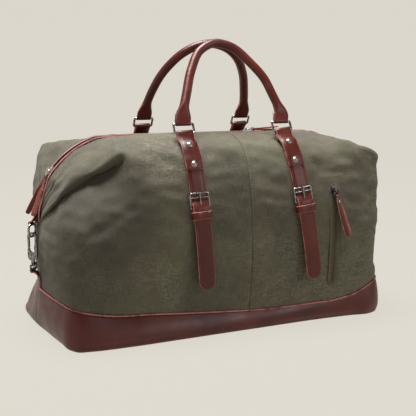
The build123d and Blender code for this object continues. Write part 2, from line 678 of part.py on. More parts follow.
def end_parts():
    """Parts of the left end; the right end is its mirror image."""
    line = zip_line()[:4]
    top_tab = band([(-END_X, 150)] + line[1:], 0.8, 3.0, Plane.XZ, -9.5, 9.5) & boxed(-290, -250, -20, 20, 176, 206)
    top_tab = top_tab + leather_fold(END_PIVOT_Z, 178, 3.7, END_WIRE_R + 0.08, -END_X - 1.0)
    ring = wire_loop(END_RING_W, END_RING_H, END_WIRE_R, 3.0, end_plane(END_PIVOT_Z - END_GAP / 2))
    plate = Pos(-END_X - 1.7, 0, 0) * Rot(0, 90, 0) * Box(30, 19, 2.2)
    plate = Pos(0, 0, 74) * plate + Pos(-END_X - 1.7, 0, 59) * Rot(0, 90, 0) * Cylinder(9.5, 2.2)
    post_plane = Plane(origin=(-END_X - 2.8, 0, END_RIVET_Z), x_dir=(0, 1, 0), z_dir=(-1, 0, 0))
    post = shank(post_plane, END_POST, HOLE_R)
    eye_z = EYE_LOW_Z + 2.5
    low_tab = plate + leather_fold(eye_z, 86, 3.4, 1.5 + 0.08, -END_X - 1.7) - post
    eye = wire_loop(21, 13, 1.5, 2.6, end_plane(eye_z + 5))
    barrel = Pos(-END_RING_X, 0, eye_z + 10) * Cylinder(3.3, 4.4)
    eye = eye + barrel - Pos(-END_RING_X, 0, eye_z + 10) * Cylinder(PIN_R + 0.08, 20)
    parts = {"end_tab_upper": top_tab, "end_ring": ring, "end_tab_lower": low_tab, "swivel_eye": eye}
    parts["snap_hook"], parts["hook_gate"] = snap_hook(eye_z + 10)
    return parts, rivet(post_plane, END_POST), post


def snap_hook(barrel_z):
    """Hook with a swivel pin below and a sprung gate on its outer side."""
    plane = hook_plane(0)
    top, foot = JAW_TOP_Z + 3.4, barrel_z + 5.0
    outline = Pos(0, (top + foot) / 2) * RectangleRounded(15, top - foot, 6.5)
    jaw = Pos(0, (JAW_TOP_Z + JAW_LOW_Z) / 2) * RectangleRounded(9, JAW_TOP_Z - JAW_LOW_Z, 4.4)
    gap = Pos(-6.5, (GATE_Z[0] + GATE_Z[1]) / 2) * Rectangle(5, GATE_Z[1] - GATE_Z[0])
    body = extrude(plane * (outline - jaw - gap), amount=HOOK_T / 2, both=True)
    hinge_z = GATE_Z[0] + 1.9
    ear = Pos(-6.0, hinge_z - 1.0) * Rectangle(3.0, 4.4)
    cheeks = extrude(plane * ear, amount=HOOK_T / 2, both=True) - extrude(plane * ear, amount=1.1, both=True)
    pin = extrude(plane * (Pos(-6.0, hinge_z) * Circle(0.7)), amount=HOOK_T / 2, both=True)
    stem = Pos(-END_RING_X, 0, 0)
    stem = stem * Pos(0, 0, (barrel_z + 2.5 + foot + 1.5) / 2) * Cylinder(3.0, foot + 1.5 - barrel_z - 2.5)
    shaft = Pos(-END_RING_X, 0, barrel_z) * Cylinder(PIN_R, 7.4)
    head = Pos(-END_RING_X, 0, barrel_z - 3.4) * Cylinder(2.3, 1.8)
    tongue = Pos(-6.0, hinge_z) * Circle(1.4) + Pos(-6.0, hinge_z + 2) * Rectangle(2.6, 4)
    blade = Pos(-6.0, (hinge_z + 3 + GATE_Z[1] - 0.4) / 2) * Rectangle(2.6, GATE_Z[1] - 0.4 - hinge_z - 3)
    gate = extrude(plane * tongue, amount=0.8, both=True) + extrude(plane * blade, amount=1.8, both=True)
    gate = gate - extrude(plane * (Pos(-6.0, hinge_z) * Circle(0.76)), amount=3, both=True)
    return body + cheeks + pin + stem + shaft + head, gate


# ---------------------------------------------------------------- whole bag
def main():
    os.makedirs("parts", exist_ok=True)
    outer = body_solid(0)
    ends, end_rivet, end_post = end_parts()
    right_post = mirror(end_post, about=Plane.YZ)
    holes = [to_side(name, hole) for name in STRAPS for hole in tab_holes(name)]
    body_parts(outer, holes + [end_post, right_post])
    for name in ("front_left", "front_right"):
        save(f"strap_{name[6:]}", strap(name) - tab_holes(name))
        save(f"buckle_prong_{name[6:]}", prong(name))
    fronts = ("front_left", "front_right")
    save("buckle_chapes", [chape(n) for n in fronts])
    save("buckle_frames", [buckle_frame(n) for n in fronts])
    save("strap_keepers", [keeper(n) for n in fronts])
    for name in STRAPS:
        save(f"tab_{name}", ring_tab(name, outer, tab_rivets(name)))
        save(f"handle_ring_{name}", handle_ring(name))
    for side in ("front", "back"):
        names = (f"{side}_left", f"{side}_right")
        save(f"{side}_tab_rivets", [to_side(name, piece) for name in names for piece in tab_rivets(name)])
        leather, core = handle(side)
        save(f"handle_{side}", leather)
        save(f"handle_core_{side}", core)
    main_zipper()
    main_sliders()
    pocket()
    for node, shape in ends.items():
        save(f"{node}_left", shape)
        save(f"{node}_right", mirror(shape, about=Plane.YZ))
    save("end_rivets", [end_rivet, mirror(end_rivet, about=Plane.YZ)])


main()
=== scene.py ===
"""Waxed-canvas and leather weekender bag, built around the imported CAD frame. Lengths are in millimetres."""

import math

import bpy
import numpy as np
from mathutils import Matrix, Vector


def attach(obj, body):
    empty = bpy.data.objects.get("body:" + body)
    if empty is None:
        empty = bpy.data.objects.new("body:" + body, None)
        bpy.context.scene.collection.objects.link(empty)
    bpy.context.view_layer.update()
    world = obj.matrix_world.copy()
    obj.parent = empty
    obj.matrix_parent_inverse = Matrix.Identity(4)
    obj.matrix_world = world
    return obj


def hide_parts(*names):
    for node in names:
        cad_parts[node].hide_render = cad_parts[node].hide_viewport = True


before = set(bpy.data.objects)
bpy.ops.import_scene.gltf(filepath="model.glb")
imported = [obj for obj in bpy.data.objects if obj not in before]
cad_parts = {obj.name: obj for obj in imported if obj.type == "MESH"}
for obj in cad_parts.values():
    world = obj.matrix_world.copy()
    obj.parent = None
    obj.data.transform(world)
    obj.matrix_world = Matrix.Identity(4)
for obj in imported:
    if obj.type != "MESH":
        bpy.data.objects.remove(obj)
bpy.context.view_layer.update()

MM = 0.001
GRID_STEP = 4.5   # mesh size of the canvas and the base

# ------------ driving dimensions, as in the CAD
FACE_R = 397.58          # arc of the long faces in cross-section, and its centre
FACE_CENTRE_Y = 257.39
FACE_CENTRE_Z = 127.7
TOP_CORNER = [(124.0, 240.0), (115.0, 261.0), (104.0, 278.0), (92.0, 288.5)]
SEAM_X = 19.0
END_X = 274.0
TOP_Z = 291.0
ARC_CENTRE = (-141.357, 157.483)
ARC_R = 138.414
ZIP_END_Z = 165.0
BOTTOM_X = 232.0
BOTTOM_Y = 106.0
STRAP_TOP_Z = 285.0
STRAPS = {"front_left": (-68.0, 0.053), "front_right": (94.0, 0.122),
          "back_left": (-81.0, 0.03), "back_right": (95.0, 0.06)}
FRONT_STRAPS = ("front_left", "front_right")
STRAP_HALF = 12.5
LEATHER_T = 2.2
HINGE_Y = 87.0
HINGE_Z = 299.0
RING_BAR_H = 15.4        # upper bar of a handle ring above its lower bar
BAR_WRAP = 3.2           # from a ring bar's centre to the middle of the leather round it
LEAN = math.radians(30.0)
HANDLE_R = 6.8
CORE_R = 4.4
BUCKLE_HEEL_Z = 193.0
KEEPER_Z = 183.5
POCKET_X = 159.0
POCKET_Z = (57.0, 218.0)
END_RING_X = 283.5
END_RING_Z = 152.9
END_RING_HALF = (11.2, 10.1)   # half width and half height
END_TURN = math.radians(35.0)
CANVAS_T = 1.5

# top edge of the leather base: (x, height)
BASE_EDGE = [(-275, 62), (-262, 60), (-243, 55), (-198, 45), (-130, 40), (-60, 35),
             (0, 31), (50, 28.5), (124, 29.5), (178, 32), (215, 41), (240, 54), (262, 60), (275, 62)]


# ------------ curves and nets
def smooth(net, axis, step):
    """Cubic through a net of control points along one axis, about one sample per step."""
    net = np.moveaxis(np.asarray(net, float), axis, 0)
    gaps = np.linalg.norm(np.diff(net, axis=0), axis=-1)
    chord = gaps.reshape(len(gaps), -1).mean(axis=1)
    wide = chord.reshape((-1,) + (1,) * (net.ndim - 1))
    rate = np.diff(net, axis=0) / wide
    slope = np.empty_like(net)
    slope[1:-1] = (rate[:-1] * wide[1:] + rate[1:] * wide[:-1]) / (wide[1:] + wide[:-1])
    slope[0], slope[-1] = rate[0], rate[-1]
    rows = []
    for i, length in enumerate(chord):
        count = max(1, math.ceil(length / step))
        for t in np.arange(count) / count:
            a = (2 * t ** 3 - 3 * t ** 2 + 1) * net[i] + (3 * t ** 2 - 2 * t ** 3) * net[i + 1]
            b = (t ** 3 - 2 * t ** 2 + t) * slope[i] + (t ** 3 - t ** 2) * slope[i + 1]
            rows.append(a + b * length)
    rows.append(net[-1])
    return np.moveaxis(np.array(rows), 0, axis)


def unit(v):
    v = np.asarray(v, float)
    return v / np.maximum(np.linalg.norm(v, axis=-1, keepdims=True), 1e-9)


def tangents(points):
    return unit(np.gradient(np.asarray(points, float), axis=0))


def lengths(points):
    steps = np.linalg.norm(np.diff(np.asarray(points, float), axis=0), axis=-1)
    return np.concatenate([[0.0], np.cumsum(steps)])


def point_at(distance, s, path):
    """Point of a path, whose lengths are s, at a distance along it."""
    return np.stack([np.interp(distance, s, path[:, i]) for i in range(3)], -1)


def circle(count, start=None, stop=None):
    """(cosine, sine) pairs round a circle, or from start to stop degrees with both ends."""
    angles = np.arange(count) * 2 * np.pi / count
    if start is not None:
        angles = np.radians(np.linspace(start, stop, count))
    return np.stack([np.cos(angles), np.sin(angles)], -1)


def waves(points, wavelength, count, seed):
    """Smooth random field, about -1 to 1, as a sum of waves in random directions."""
    rng = np.random.default_rng(seed)
    directions = unit(rng.normal(size=(count, 3))) * rng.uniform(0.7, 1.4, (count, 1))
    phases = rng.uniform(0, 2 * np.pi, count)
    total = np.zeros(points.shape[:-1])
    for direction, phase in zip(directions, phases):
        total += np.sin(points @ direction * (2 * np.pi / wavelength) + phase)
    return total / math.sqrt(count)


def face_at(z):
    """(distance from the centre plane, outward tilt) of the long face at height z."""
    def y_of(height):
        arc = math.sqrt(FACE_R ** 2 - (height - FACE_CENTRE_Z) ** 2) - FACE_CENTRE_Y
        if height <= TOP_CORNER[0][1]:
            return arc
        return float(np.interp(height, [p[1] for p in TOP_CORNER], [p[0] for p in TOP_CORNER]))
    return y_of(z), math.atan2(y_of(z - 4) - y_of(z + 4), 8.0)


def on_face(x, z, lift):
    """Point on the front face, lifted off it."""
    y, tilt = face_at(z)
    return (x, -y - math.cos(tilt) * lift, z + math.sin(tilt) * lift)


def face_normal(z):
    """Outward direction of the front face at height z."""
    tilt = face_at(z)[1]
    return np.array([0, -math.cos(tilt), math.sin(tilt)])


def strap_x(name, z):
    top, drift = STRAPS[name]
    return top + (STRAP_TOP_Z - z) * drift


def strap_across(name):
    return unit((1.0, 0.0, STRAPS[name][1]))


def arc_z(x):
    return ARC_CENTRE[1] + math.sqrt(ARC_R ** 2 - (-abs(x) - ARC_CENTRE[0]) ** 2)


BASE_FINE = smooth(BASE_EDGE, 0, 8.0)


def edge_z(x):
    return float(np.interp(x, BASE_FINE[:, 0], BASE_FINE[:, 1]))


# ------------ meshes, as (vertices, faces, material numbers)
def add_piece(name, mesh, materials, replaces=(), body="bag", uvs=None, sharp=None):
    """Makes an object from a mesh in millimetres and puts it on its CAD body."""
    verts, faces, index = mesh
    data = bpy.data.meshes.new(name)
    data.from_pydata((np.asarray(verts, float) * MM).tolist(), [], [tuple(map(int, f)) for f in faces])
    for material in materials:
        data.materials.append(material)
    if len(materials) > 1:
        data.polygons.foreach_set("material_index", np.asarray(index, dtype=np.int32))
    data.polygons.foreach_set("use_smooth", np.ones(len(data.polygons), dtype=bool))
    if uvs is not None:
        layer = data.uv_layers.new(name="UVMap")
        loops = np.empty(len(data.loops), dtype=np.int32)
        data.loops.foreach_get("vertex_index", loops)
        layer.data.foreach_set("uv", (np.asarray(uvs, float)[loops] * MM).ravel())
    if sharp:
        data.set_sharp_from_angle(angle=math.radians(sharp))
    data.update()
    obj = bpy.data.objects.new(name, data)
    bpy.context.scene.collection.objects.link(obj)
    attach(obj, body)
    if replaces:
        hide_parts(*replaces)


def leather_piece(name, mesh, node):
    """Strap leather with raw edges, in place of a CAD node."""
    add_piece(name, mesh, [STRAP_LEATHER, RAW_EDGE], [node], sharp=50)


def thread_piece(name, rows, body="bag"):
    add_piece(name, merge(rows), [THREAD], body=body)


def merge(parts):
    """Joins meshes into one."""
    verts, faces, index, base = [], [], [], 0
    for v, f, i in parts:
        verts.append(np.asarray(v, float))
        faces.extend([tuple(k + base for k in face) for face in f])
        index.extend(i)
        base += len(v)
    return np.concatenate(verts), faces, index


def grid_normals(grid):
    return unit(np.cross(np.gradient(grid, axis=0), np.gradient(grid, axis=1)))


def slab(outer, inner):
    """Closed mesh between two grids, with rims, and uvs that follow the outer grid's real lengths."""
    nu, nv = outer.shape[:2]
    verts = np.concatenate([outer.reshape(-1, 3), inner.reshape(-1, 3)])
    number = np.arange(nu * nv).reshape(nu, nv)
    quads = np.stack([number[:-1, :-1], number[1:, :-1], number[1:, 1:], number[:-1, 1:]], -1).reshape(-1, 4)
    faces = quads.tolist() + (quads[:, ::-1] + nu * nv).tolist()
    skin = len(faces)
    ring = list(number[:, 0]) + list(number[-1, 1:]) + list(number[-2::-1, -1]) + list(number[0, -2:0:-1])
    for a, b in zip(ring, ring[1:] + ring[:1]):
        faces.append((b, a, a + nu * nv, b + nu * nv))
    index = [0] * skin + [1] * (len(faces) - skin)
    along, up = np.meshgrid(lengths(outer[:, nv // 3]), lengths(outer[nu // 2]), indexing="ij")
    uv = np.stack([along.ravel(), up.ravel()], -1)
    return (verts, faces, index), np.concatenate([uv, uv])


def loft_rings(rings, close=False, edges=()):
    """Closed mesh through rings of points; faces that start at a ring index in edges get material 1."""
    n = len(rings[0])
    faces, index = [], []
    for i in range(len(rings) if close else len(rings) - 1):
        a, b = i * n, ((i + 1) % len(rings)) * n
        for k in range(n):
            j = (k + 1) % n
            faces.append((a + k, a + j, b + j, b + k))
            index.append(1 if k in edges else 0)
    if not close:
        faces.append(tuple(range(n - 1, -1, -1)))
        faces.append(tuple(range((len(rings) - 1) * n, len(rings) * n)))
        index += [1 if edges else 0] * 2
    return np.concatenate(rings), faces, index


def tube_mesh(path, radius, sides=12, close=False):
    """Round tube along points; radius is a number or one for each point."""
    path = np.asarray(path, float)
    t = tangents(path)
    side = unit(np.cross(t[0], (0.3, 0.5, 0.8)))
    spokes = circle(sides)
    rings = []
    for p, d, r in zip(path, t, np.broadcast_to(radius, len(path))):
        side = unit(side - d * np.dot(side, d))
        other = np.cross(d, side)
        rings.append(p + r * (spokes @ np.array([side, other])))
    return loft_rings(rings, close)


def ribbon(path, across, width, thickness, normal=None):
    """Leather strip along points: soft corners, raw edges (material 1) on its sides and ends."""
    path = np.asarray(path, float)
    across = unit(np.broadcast_to(across, path.shape))
    if normal is None:
        normal = unit(np.cross(across, tangents(path)))
    y = thickness / 2
    rings = []
    for p, a, n, w in zip(path, across, normal, np.broadcast_to(width, len(path))):
        h = w / 2
        c = min(0.5, h * 0.4)
        outline = [(-h, -y / 2), (-h, y / 2), (-h + c, y), (-h * 0.4, y + 0.15), (h * 0.4, y + 0.15),
                   (h - c, y), (h, y / 2), (h, -y / 2), (h - c, -y), (h * 0.4, -y), (-h * 0.4, -y),
                   (-h + c, -y)]
        rings.append(np.array([p + a * u + n * v for u, v in outline]))
    return loft_rings(rings, edges=(11, 0, 1, 5, 6, 7))


def round_tip(path, width, at_end=False, least=1.5):
    """Widths along a strip whose start, or both ends, are half round."""
    s = lengths(path)
    out = np.full(len(s), float(width))
    r = width / 2
    for distance in (s, s[-1] - s) if at_end else (s,):
        near = distance < r
        out[near] = np.maximum(width * np.sqrt(np.maximum(1 - ((r - distance[near]) / r) ** 2, 0)), least)
    return out


def tip_path(points, step, tip):
    """Smooth path that is sampled finely over its first stretch, for a round tip."""
    path, fine = smooth(points, 0, step), smooth(points, 0, 0.5)
    return np.concatenate([fine[lengths(fine) < tip][::2], path[lengths(path) >= tip]])


def box_mesh(centre, axes, size, bevel=0.2):
    """Chamfered block; axes are three unit vectors, size its full lengths."""
    x, y, z = axes
    hx, hy, hz = (s / 2 for s in size)
    c = bevel * min(size)
    rings = []
    for height, shrink in ((-hz, c), (-hz + c, 0), (hz - c, 0), (hz, c)):
        a, b = hx - shrink, hy - shrink
        outline = [(-a + c, -b), (a - c, -b), (a, -b + c), (a, b - c),
                   (a - c, b), (-a + c, b), (-a, b - c), (-a, -b + c)]
        rings.append(np.array([centre + x * u + y * v + z * height for u, v in outline]))
    return loft_rings(rings)


def teeth(path, pitch, side, stagger, size, normal_at):
    """Row of zipper teeth along a path, set off to each side in turn."""
    s = lengths(path)
    side = np.array(side, float)
    parts = []
    for k in range(int(s[-1] / pitch)):
        at = (k + 0.5) * pitch
        centre = point_at(at, s, path) + side * (stagger if k % 2 else -stagger)
        out = normal_at(at, centre)
        parts.append(box_mesh(centre, (np.cross(out, side), side, out), size))
    return merge(parts)


# one stitch, as shares of its length, its lift and its radius
STITCH = ((-0.5, -0.5, 0.3), (-0.36, 0.1, 0.9), (0, 0.35, 1), (0.36, 0.1, 0.9), (0.5, -0.5, 0.3))


def stitches(path, normal, pitch=4.4, long=3.1, radius=0.3):
    """Row of thread stitches along a path, half sunk into the surface."""
    path = np.asarray(path, float)
    normal = np.broadcast_to(normal, path.shape)
    s = lengths(path)
    count = max(1, int(s[-1] // pitch))
    parts = []
    for k in range(count):
        middle = (k + 0.5) * s[-1] / count
        points = []
        for f, lift, _ in STITCH:
            at = middle + f * long
            points.append(point_at(at, s, path) + point_at(at, s, normal) * lift * radius * 1.4)
        parts.append(tube_mesh(points, [radius * r for _, _, r in STITCH], 6))
    return merge(parts)


# ------------ materials
class Shader:
    """Small helper round one Principled material."""

    def __init__(self, name, color, rough, metallic=0.0, **values):
        self.material = bpy.data.materials.new(name)
        self.material.use_nodes = True
        self.tree = self.material.node_tree
        self.bsdf = self.tree.nodes["Principled BSDF"]
        self.material.diffuse_color = (*color, 1)
        self.bsdf.inputs["Base Color"].default_value = (*color, 1)
        self.bsdf.inputs["Roughness"].default_value = rough
        self.bsdf.inputs["Metallic"].default_value = metallic
        for key, value in values.items():
            self.bsdf.inputs[key.replace("_", " ")].default_value = value
        self.coords = self.tree.nodes.new("ShaderNodeTexCoord")
        self.bumped = None

    def put(self, socket, value):
        if isinstance(value, bpy.types.NodeSocket):
            self.tree.links.new(value, socket)
        else:
            socket.default_value = value

    def node(self, kind, **inputs):
        node = self.tree.nodes.new(kind)
        for key, value in inputs.items():
            self.put(node.inputs[key.replace("_", " ")], value)
        return node

    def scaled(self, scale, space="Object"):
        coords = self.coords.outputs[space]
        return self.node("ShaderNodeMapping", Vector=coords, Scale=scale).outputs["Vector"]

    def noise(self, scale, detail=3.0, rough=0.5, stretch=(1, 1, 1), space="Object", distortion=0.0):
        return self.node("ShaderNodeTexNoise", Vector=self.scaled(stretch, space), Scale=scale, Detail=detail,
                         Roughness=rough, Distortion=distortion).outputs["Fac"]

    def ramp(self, value, low, high, start=0.0, end=1.0):
        """Value mapped smoothly from low..high to start..end."""
        node = self.node("ShaderNodeMapRange", Value=value)
        node.interpolation_type = "SMOOTHSTEP"
        for key, number in (("From Min", low), ("From Max", high), ("To Min", start), ("To Max", end)):
            node.inputs[key].default_value = number
        return node.outputs["Result"]

    def mix(self, factor, *colors):
        node = self.tree.nodes.new("ShaderNodeMix")
        node.data_type = "RGBA"
        self.put(node.inputs["Factor"], factor)
        for socket, value in zip([s for s in node.inputs if s.type == "RGBA"], colors):
            self.put(socket, (*value, 1) if isinstance(value, tuple) else value)
        return [s for s in node.outputs if s.type == "RGBA"][0]

    def math(self, operation, a, b=0.0):
        node = self.tree.nodes.new("ShaderNodeMath")
        node.operation = operation
        self.put(node.inputs[0], a)
        self.put(node.inputs[1], b)
        return node.outputs[0]

    def bump(self, height, strength, distance):
        """Adds relief on top of what is there; the distance is in millimetres."""
        node = self.node("ShaderNodeBump", Height=height, Strength=strength, Distance=distance * MM)
        if self.bumped is not None:
            self.tree.links.new(self.bumped, node.inputs["Normal"])
        self.bumped = node.outputs["Normal"]
        self.tree.links.new(self.bumped, self.bsdf.inputs["Normal"])

    def color(self, socket):
        self.tree.links.new(socket, self.bsdf.inputs["Base Color"])

    def rough(self, socket):
        self.tree.links.new(socket, self.bsdf.inputs["Roughness"])


def srgb(r, g, b):
    """Linear colour from 8-bit display values."""
    return tuple((v / 255 / 12.92) if v <= 10 else ((v / 255 + 0.055) / 1.055) ** 2.4 for v in (r, g, b))


FOLD_SHADOW_SPOT = (-0.205, -0.125, 0.185)   # centre of the painted shadow under the fold, metres


def canvas_material():
    """Waxed canvas: clouded olive, fine weave with slubs, pale rubbed creases, and a painted shadow below the
    front-left fold.
    """
    s = Shader("waxed_canvas", srgb(86, 82, 66), 0.78, Specular_IOR_Level=0.3, Sheen_Weight=0.06,
               Sheen_Roughness=0.6)
    cloud = s.ramp(s.noise(12, 5, 0.62, distortion=0.4), 0.38, 0.62)
    patch = s.ramp(s.noise(17, 5, 0.65, (1, 1, 0.7), distortion=0.8), 0.44, 0.62)
    base = s.mix(cloud, srgb(60, 56, 43), srgb(78, 75, 58))
    base = s.mix(s.math("MULTIPLY", patch, 0.6), base, srgb(70, 60, 48))
    slub = s.math("ADD", *(s.noise(1, 3, 0.6, stretch, "UV") for stretch in ((60, 1900, 1), (1900, 60, 1))))
    base = s.mix(s.ramp(slub, 0.95, 1.3, 0.0, 0.3), base, srgb(136, 131, 108))
    base = s.mix(s.ramp(slub, 0.98, 0.72, 0.0, 0.35), base, srgb(44, 40, 31))
    rub = s.noise(30, 6, 0.75, (1, 1, 2.4), distortion=1.6)
    line = s.math("ABSOLUTE", s.math("SUBTRACT", rub, 0.5))
    rub_zone = s.ramp(s.noise(7, 2, 0.5), 0.5, 0.62)
    rubbed = s.math("MULTIPLY", s.ramp(line, 0.018, 0.0, 0.0, 0.45), rub_zone)
    base = s.mix(rubbed, base, srgb(146, 142, 120))
    # painted shadow: the cloth is darkened towards a spot below the rolled fold, where shade falls
    away = s.node("ShaderNodeVectorMath", Vector=s.coords.outputs["Object"])
    away.operation = "DISTANCE"
    away.inputs[1].default_value = FOLD_SHADOW_SPOT
    s.color(s.mix(s.ramp(away.outputs["Value"], 0.045, 0.105, 0.55, 0.0), base, srgb(46, 40, 31)))
    s.rough(s.ramp(cloud, 0, 1, 0.7, 0.86))
    threads = [s.node("ShaderNodeTexWave", Vector=s.coords.outputs["UV"], Scale=340) for _ in range(2)]
    threads[1].bands_direction = "Y"
    s.bump(s.math("MULTIPLY", *(thread.outputs["Fac"] for thread in threads)), 0.35, 0.25)
    s.bump(slub, 0.5, 0.35)
    s.bump(s.noise(55, 4, 0.6), 0.5, 1.2)
    return s.material


def leather_material(name, dark, light, rough, grain=0.7):
    """Smooth finished leather with fine grain, faint clouding and dry scuffs."""
    s = Shader(name, dark, rough, Specular_IOR_Level=0.27, Coat_Weight=0.07, Coat_Roughness=0.3)
    base = s.mix(s.ramp(s.noise(14, 4, 0.6), 0.35, 0.68), dark, light)
    base = s.mix(s.ramp(s.noise(420, 3, 0.7), 0.55, 0.75, 0, 0.25), base, light)
    s.color(s.mix(s.ramp(s.noise(60, 5, 0.8, (1, 1, 3)), 0.62, 0.8, 0, 0.22), base, srgb(150, 112, 100)))
    s.rough(s.ramp(s.noise(40, 4, 0.6), 0.3, 0.7, rough - 0.07, rough + 0.1))
    cells = s.node("ShaderNodeTexVoronoi", Vector=s.coords.outputs["Object"], Scale=760.0)
    s.bump(cells.outputs["Distance"], 0.22 * grain, 0.35)
    s.bump(s.noise(180, 4, 0.6), 0.3 * grain, 0.5)
    s.bump(s.noise(24, 3, 0.5), 0.35, 1.0)
    return s.material


def raw_edge_material():
    """Cut leather edge: dyed pinkish red with fibres."""
    s = Shader("raw_edge", srgb(166, 86, 80), 0.75, Specular_IOR_Level=0.25)
    base = s.mix(s.ramp(s.noise(900, 4, 0.7), 0.35, 0.7), srgb(150, 82, 78), srgb(196, 130, 124))
    s.color(s.mix(s.ramp(s.noise(60, 3, 0.6), 0.45, 0.7), base, srgb(118, 60, 54)))
    s.bump(s.noise(1400, 3, 0.7), 0.5, 0.2)
    return s.material


def flesh_material():
    """Orange-brown flesh side of the pulls."""
    s = Shader("leather_flesh", srgb(128, 72, 58), 0.8, Specular_IOR_Level=0.25)
    s.color(s.mix(s.ramp(s.noise(300, 5, 0.75), 0.35, 0.7), srgb(104, 54, 44), srgb(148, 88, 70)))
    s.bump(s.noise(900, 4, 0.7), 0.5, 0.3)
    return s.material


def metal_material(name, color, rough, tarnish_and_dark_reflection, patches=160):
    """Plated metal with fine scratches and dark blotches, partly smudges and partly painted dark reflections
    that give the highlights contrast.
    """
    s = Shader(name, color, rough, 1.0)
    # dark blotches: partly smudged plating, partly painted dark reflection for contrast with the highlights
    s.color(s.mix(s.ramp(s.noise(patches, 5, 0.7), 0.4, 0.72), color, tarnish_and_dark_reflection))
    s.rough(s.ramp(s.noise(240, 4, 0.7), 0.3, 0.75, rough - 0.06, rough + 0.14))
    s.bump(s.noise(1, 3, 0.6, (900, 900, 60)), 0.06, 0.1)
    return s.material


def woven_material(name, dark, light, pitch=900):
    """Tape, lining or rope: plain weave."""
    s = Shader(name, dark, 0.85, Specular_IOR_Level=0.2, Sheen_Weight=0.1)
    weft = s.noise(1, 2, 0.6, (pitch * 2, pitch / 3, pitch))
    s.color(s.mix(s.ramp(weft, 0.35, 0.65), dark, light))
    s.bump(weft, 0.5, 0.3)
    return s.material


def thread_material(name, dark, light):
    s = Shader(name, dark, 0.6, Specular_IOR_Level=0.35)
    twist = s.noise(2600, 2, 0.5)
    s.color(s.mix(s.ramp(twist, 0.3, 0.7), dark, light))
    s.bump(twist, 0.5, 0.15)
    return s.material


CANVAS = canvas_material()
BASE_LEATHER = leather_material("base_leather", srgb(64, 23, 18), srgb(80, 33, 27), 0.38, 0.5)
STRAP_LEATHER = leather_material("strap_leather", srgb(62, 16, 8), srgb(82, 29, 19), 0.36)
# the pale lilac colours paint the sheen that grazing light gives the zipper facings' leather
FACING_SHEEN_LEATHER = leather_material("facing_leather_painted_sheen", srgb(108, 84, 88), srgb(140, 118, 122), 0.3)
RAW_EDGE = raw_edge_material()
FLESH = flesh_material()
GUNMETAL = metal_material("gunmetal", (0.42, 0.4, 0.38), 0.14, (0.09, 0.085, 0.08))
DARK_METAL = metal_material("dark_gunmetal", (0.3, 0.29, 0.28), 0.16, (0.02, 0.019, 0.018), 300)
SILVER = metal_material("antique_silver", (0.3, 0.28, 0.24), 0.34, (0.09, 0.08, 0.065), 420)
NICKEL = metal_material("zip_nickel", (0.66, 0.65, 0.64), 0.22, (0.4, 0.39, 0.38))
BLACK_METAL = metal_material("black_nickel", (0.06, 0.058, 0.056), 0.28, (0.03, 0.03, 0.03))
TAPE = woven_material("zip_tape", srgb(48, 41, 34), srgb(70, 62, 52))
LINING_CLOTH = woven_material("lining_cloth", srgb(86, 80, 72), srgb(112, 105, 94), 1200)
ROPE = woven_material("rope", srgb(190, 180, 158), srgb(214, 206, 186), 500)
BOARD = woven_material("board", srgb(60, 58, 56), srgb(80, 78, 74), 300)
POCKET_TAPE = woven_material("pocket_tape", srgb(62, 56, 40), srgb(82, 75, 56))
THREAD = thread_material("brown_thread", srgb(96, 52, 46), srgb(130, 80, 70))
CANVAS_THREAD = thread_material("olive_thread", srgb(106, 100, 82), srgb(140, 134, 112))


# ------------ the bag's skin
# A column of control points runs up the bag from the leather base to the zipper: the plan point where it
# starts, the plan point and height of the belly, then points up to the zipper. These are one corner's, with
# x towards the bag's middle and y outwards; straight columns lie between the corners.
STRAIGHT = [(137.5, 175), (132.5, 207), (127.5, 228), (121, 248), (111, 266), (98, 279), (80, 287.5),
            (58, 294), (34, 295.4), (12.5, 291.2)]
STRAIGHT_BACK = [(137.5, 175), (132.5, 207), (127.5, 228), (121, 248), (110, 265), (97, 276), (80, 282.5),
                 (58, 285.5), (34, 288.5), (12.5, 290.5)]


def face_column(x, half, rows):
    return (x, 128), (x, half, 140), [(x, y, z) for y, z in rows]


EAR = [
    face_column(-186, 139.5, [(137, 174), (130.5, 206), (125.5, 227), (119, 247), (110, 264), (98, 276),
     (82, 280), (60, 281.5), (35, 286), (12.5, 287.6)]),
    face_column(-206, 139, [(136, 173), (128.5, 204), (124, 225), (119, 246), (112.5, 263), (104, 275),
     (86, 278), (62, 279.5), (35, 281), (12.5, 279.5)]),
    ((-228, 127), (-228, 137, 140), [(-229, 133, 172), (-229.5, 126, 202), (-229.5, 122, 223),
     (-229, 117.5, 243), (-229, 113, 261), (-228, 108, 273.5), (-226.5, 91, 275.5), (-225, 66, 274),
     (-225, 37, 268), (-226.5, 12.5, 266)]),
    ((-246, 120), (-250, 127, 140), [(-251.5, 124, 170), (-251, 119, 198), (-250.5, 116, 219),
     (-249.5, 112.5, 240), (-248, 110, 258), (-245.5, 108, 271), (-240.5, 92, 269), (-238, 66, 261),
     (-238.5, 39, 253), (-242, 12.5, 250.5)]),
    ((-258, 94), (-262, 98, 138), [(-263.5, 96, 163), (-264, 92, 186), (-263.5, 89, 205), (-262.5, 86, 222),
     (-260.5, 83, 236), (-257.5, 80, 247), (-254, 70, 246), (-252, 54, 242), (-252, 34, 239),
     (-255, 12.5, 235.5)]),
    ((-268, 55), (-270.5, 56, 132), [(-271, 54, 150), (-271, 51.5, 166), (-271, 49.5, 180),
     (-270.5, 47.5, 193), (-269.5, 45.5, 204), (-267.5, 43, 213), (-265.5, 36, 214), (-264, 28, 213.5),
     (-263.5, 21, 213), (-265.5, 12.5, 210)]),
    ((-273, 20), (-274, 20, 124), [(-274, 19, 136), (-274, 18, 147), (-274, 17.3, 156), (-273.8, 16.7, 164),
     (-273.5, 16, 171), (-273, 15.2, 177), (-272, 14.4, 180), (-271.5, 13.4, 181.5), (-271, 12.6, 182),
     (-271.5, 12, 181)]),
    ((-274, 0), (-274, 0, 118), [(-274, 0, 127), (-274, 0, 135), (-274, 0, 142), (-274, 0, 148),
     (-274, 0, 153), (-274, 0.3, 157), (-274, 0.8, 160), (-274, 1.4, 162), (-274, 2, 163.5),
     (-274, 3, 165)]),
]

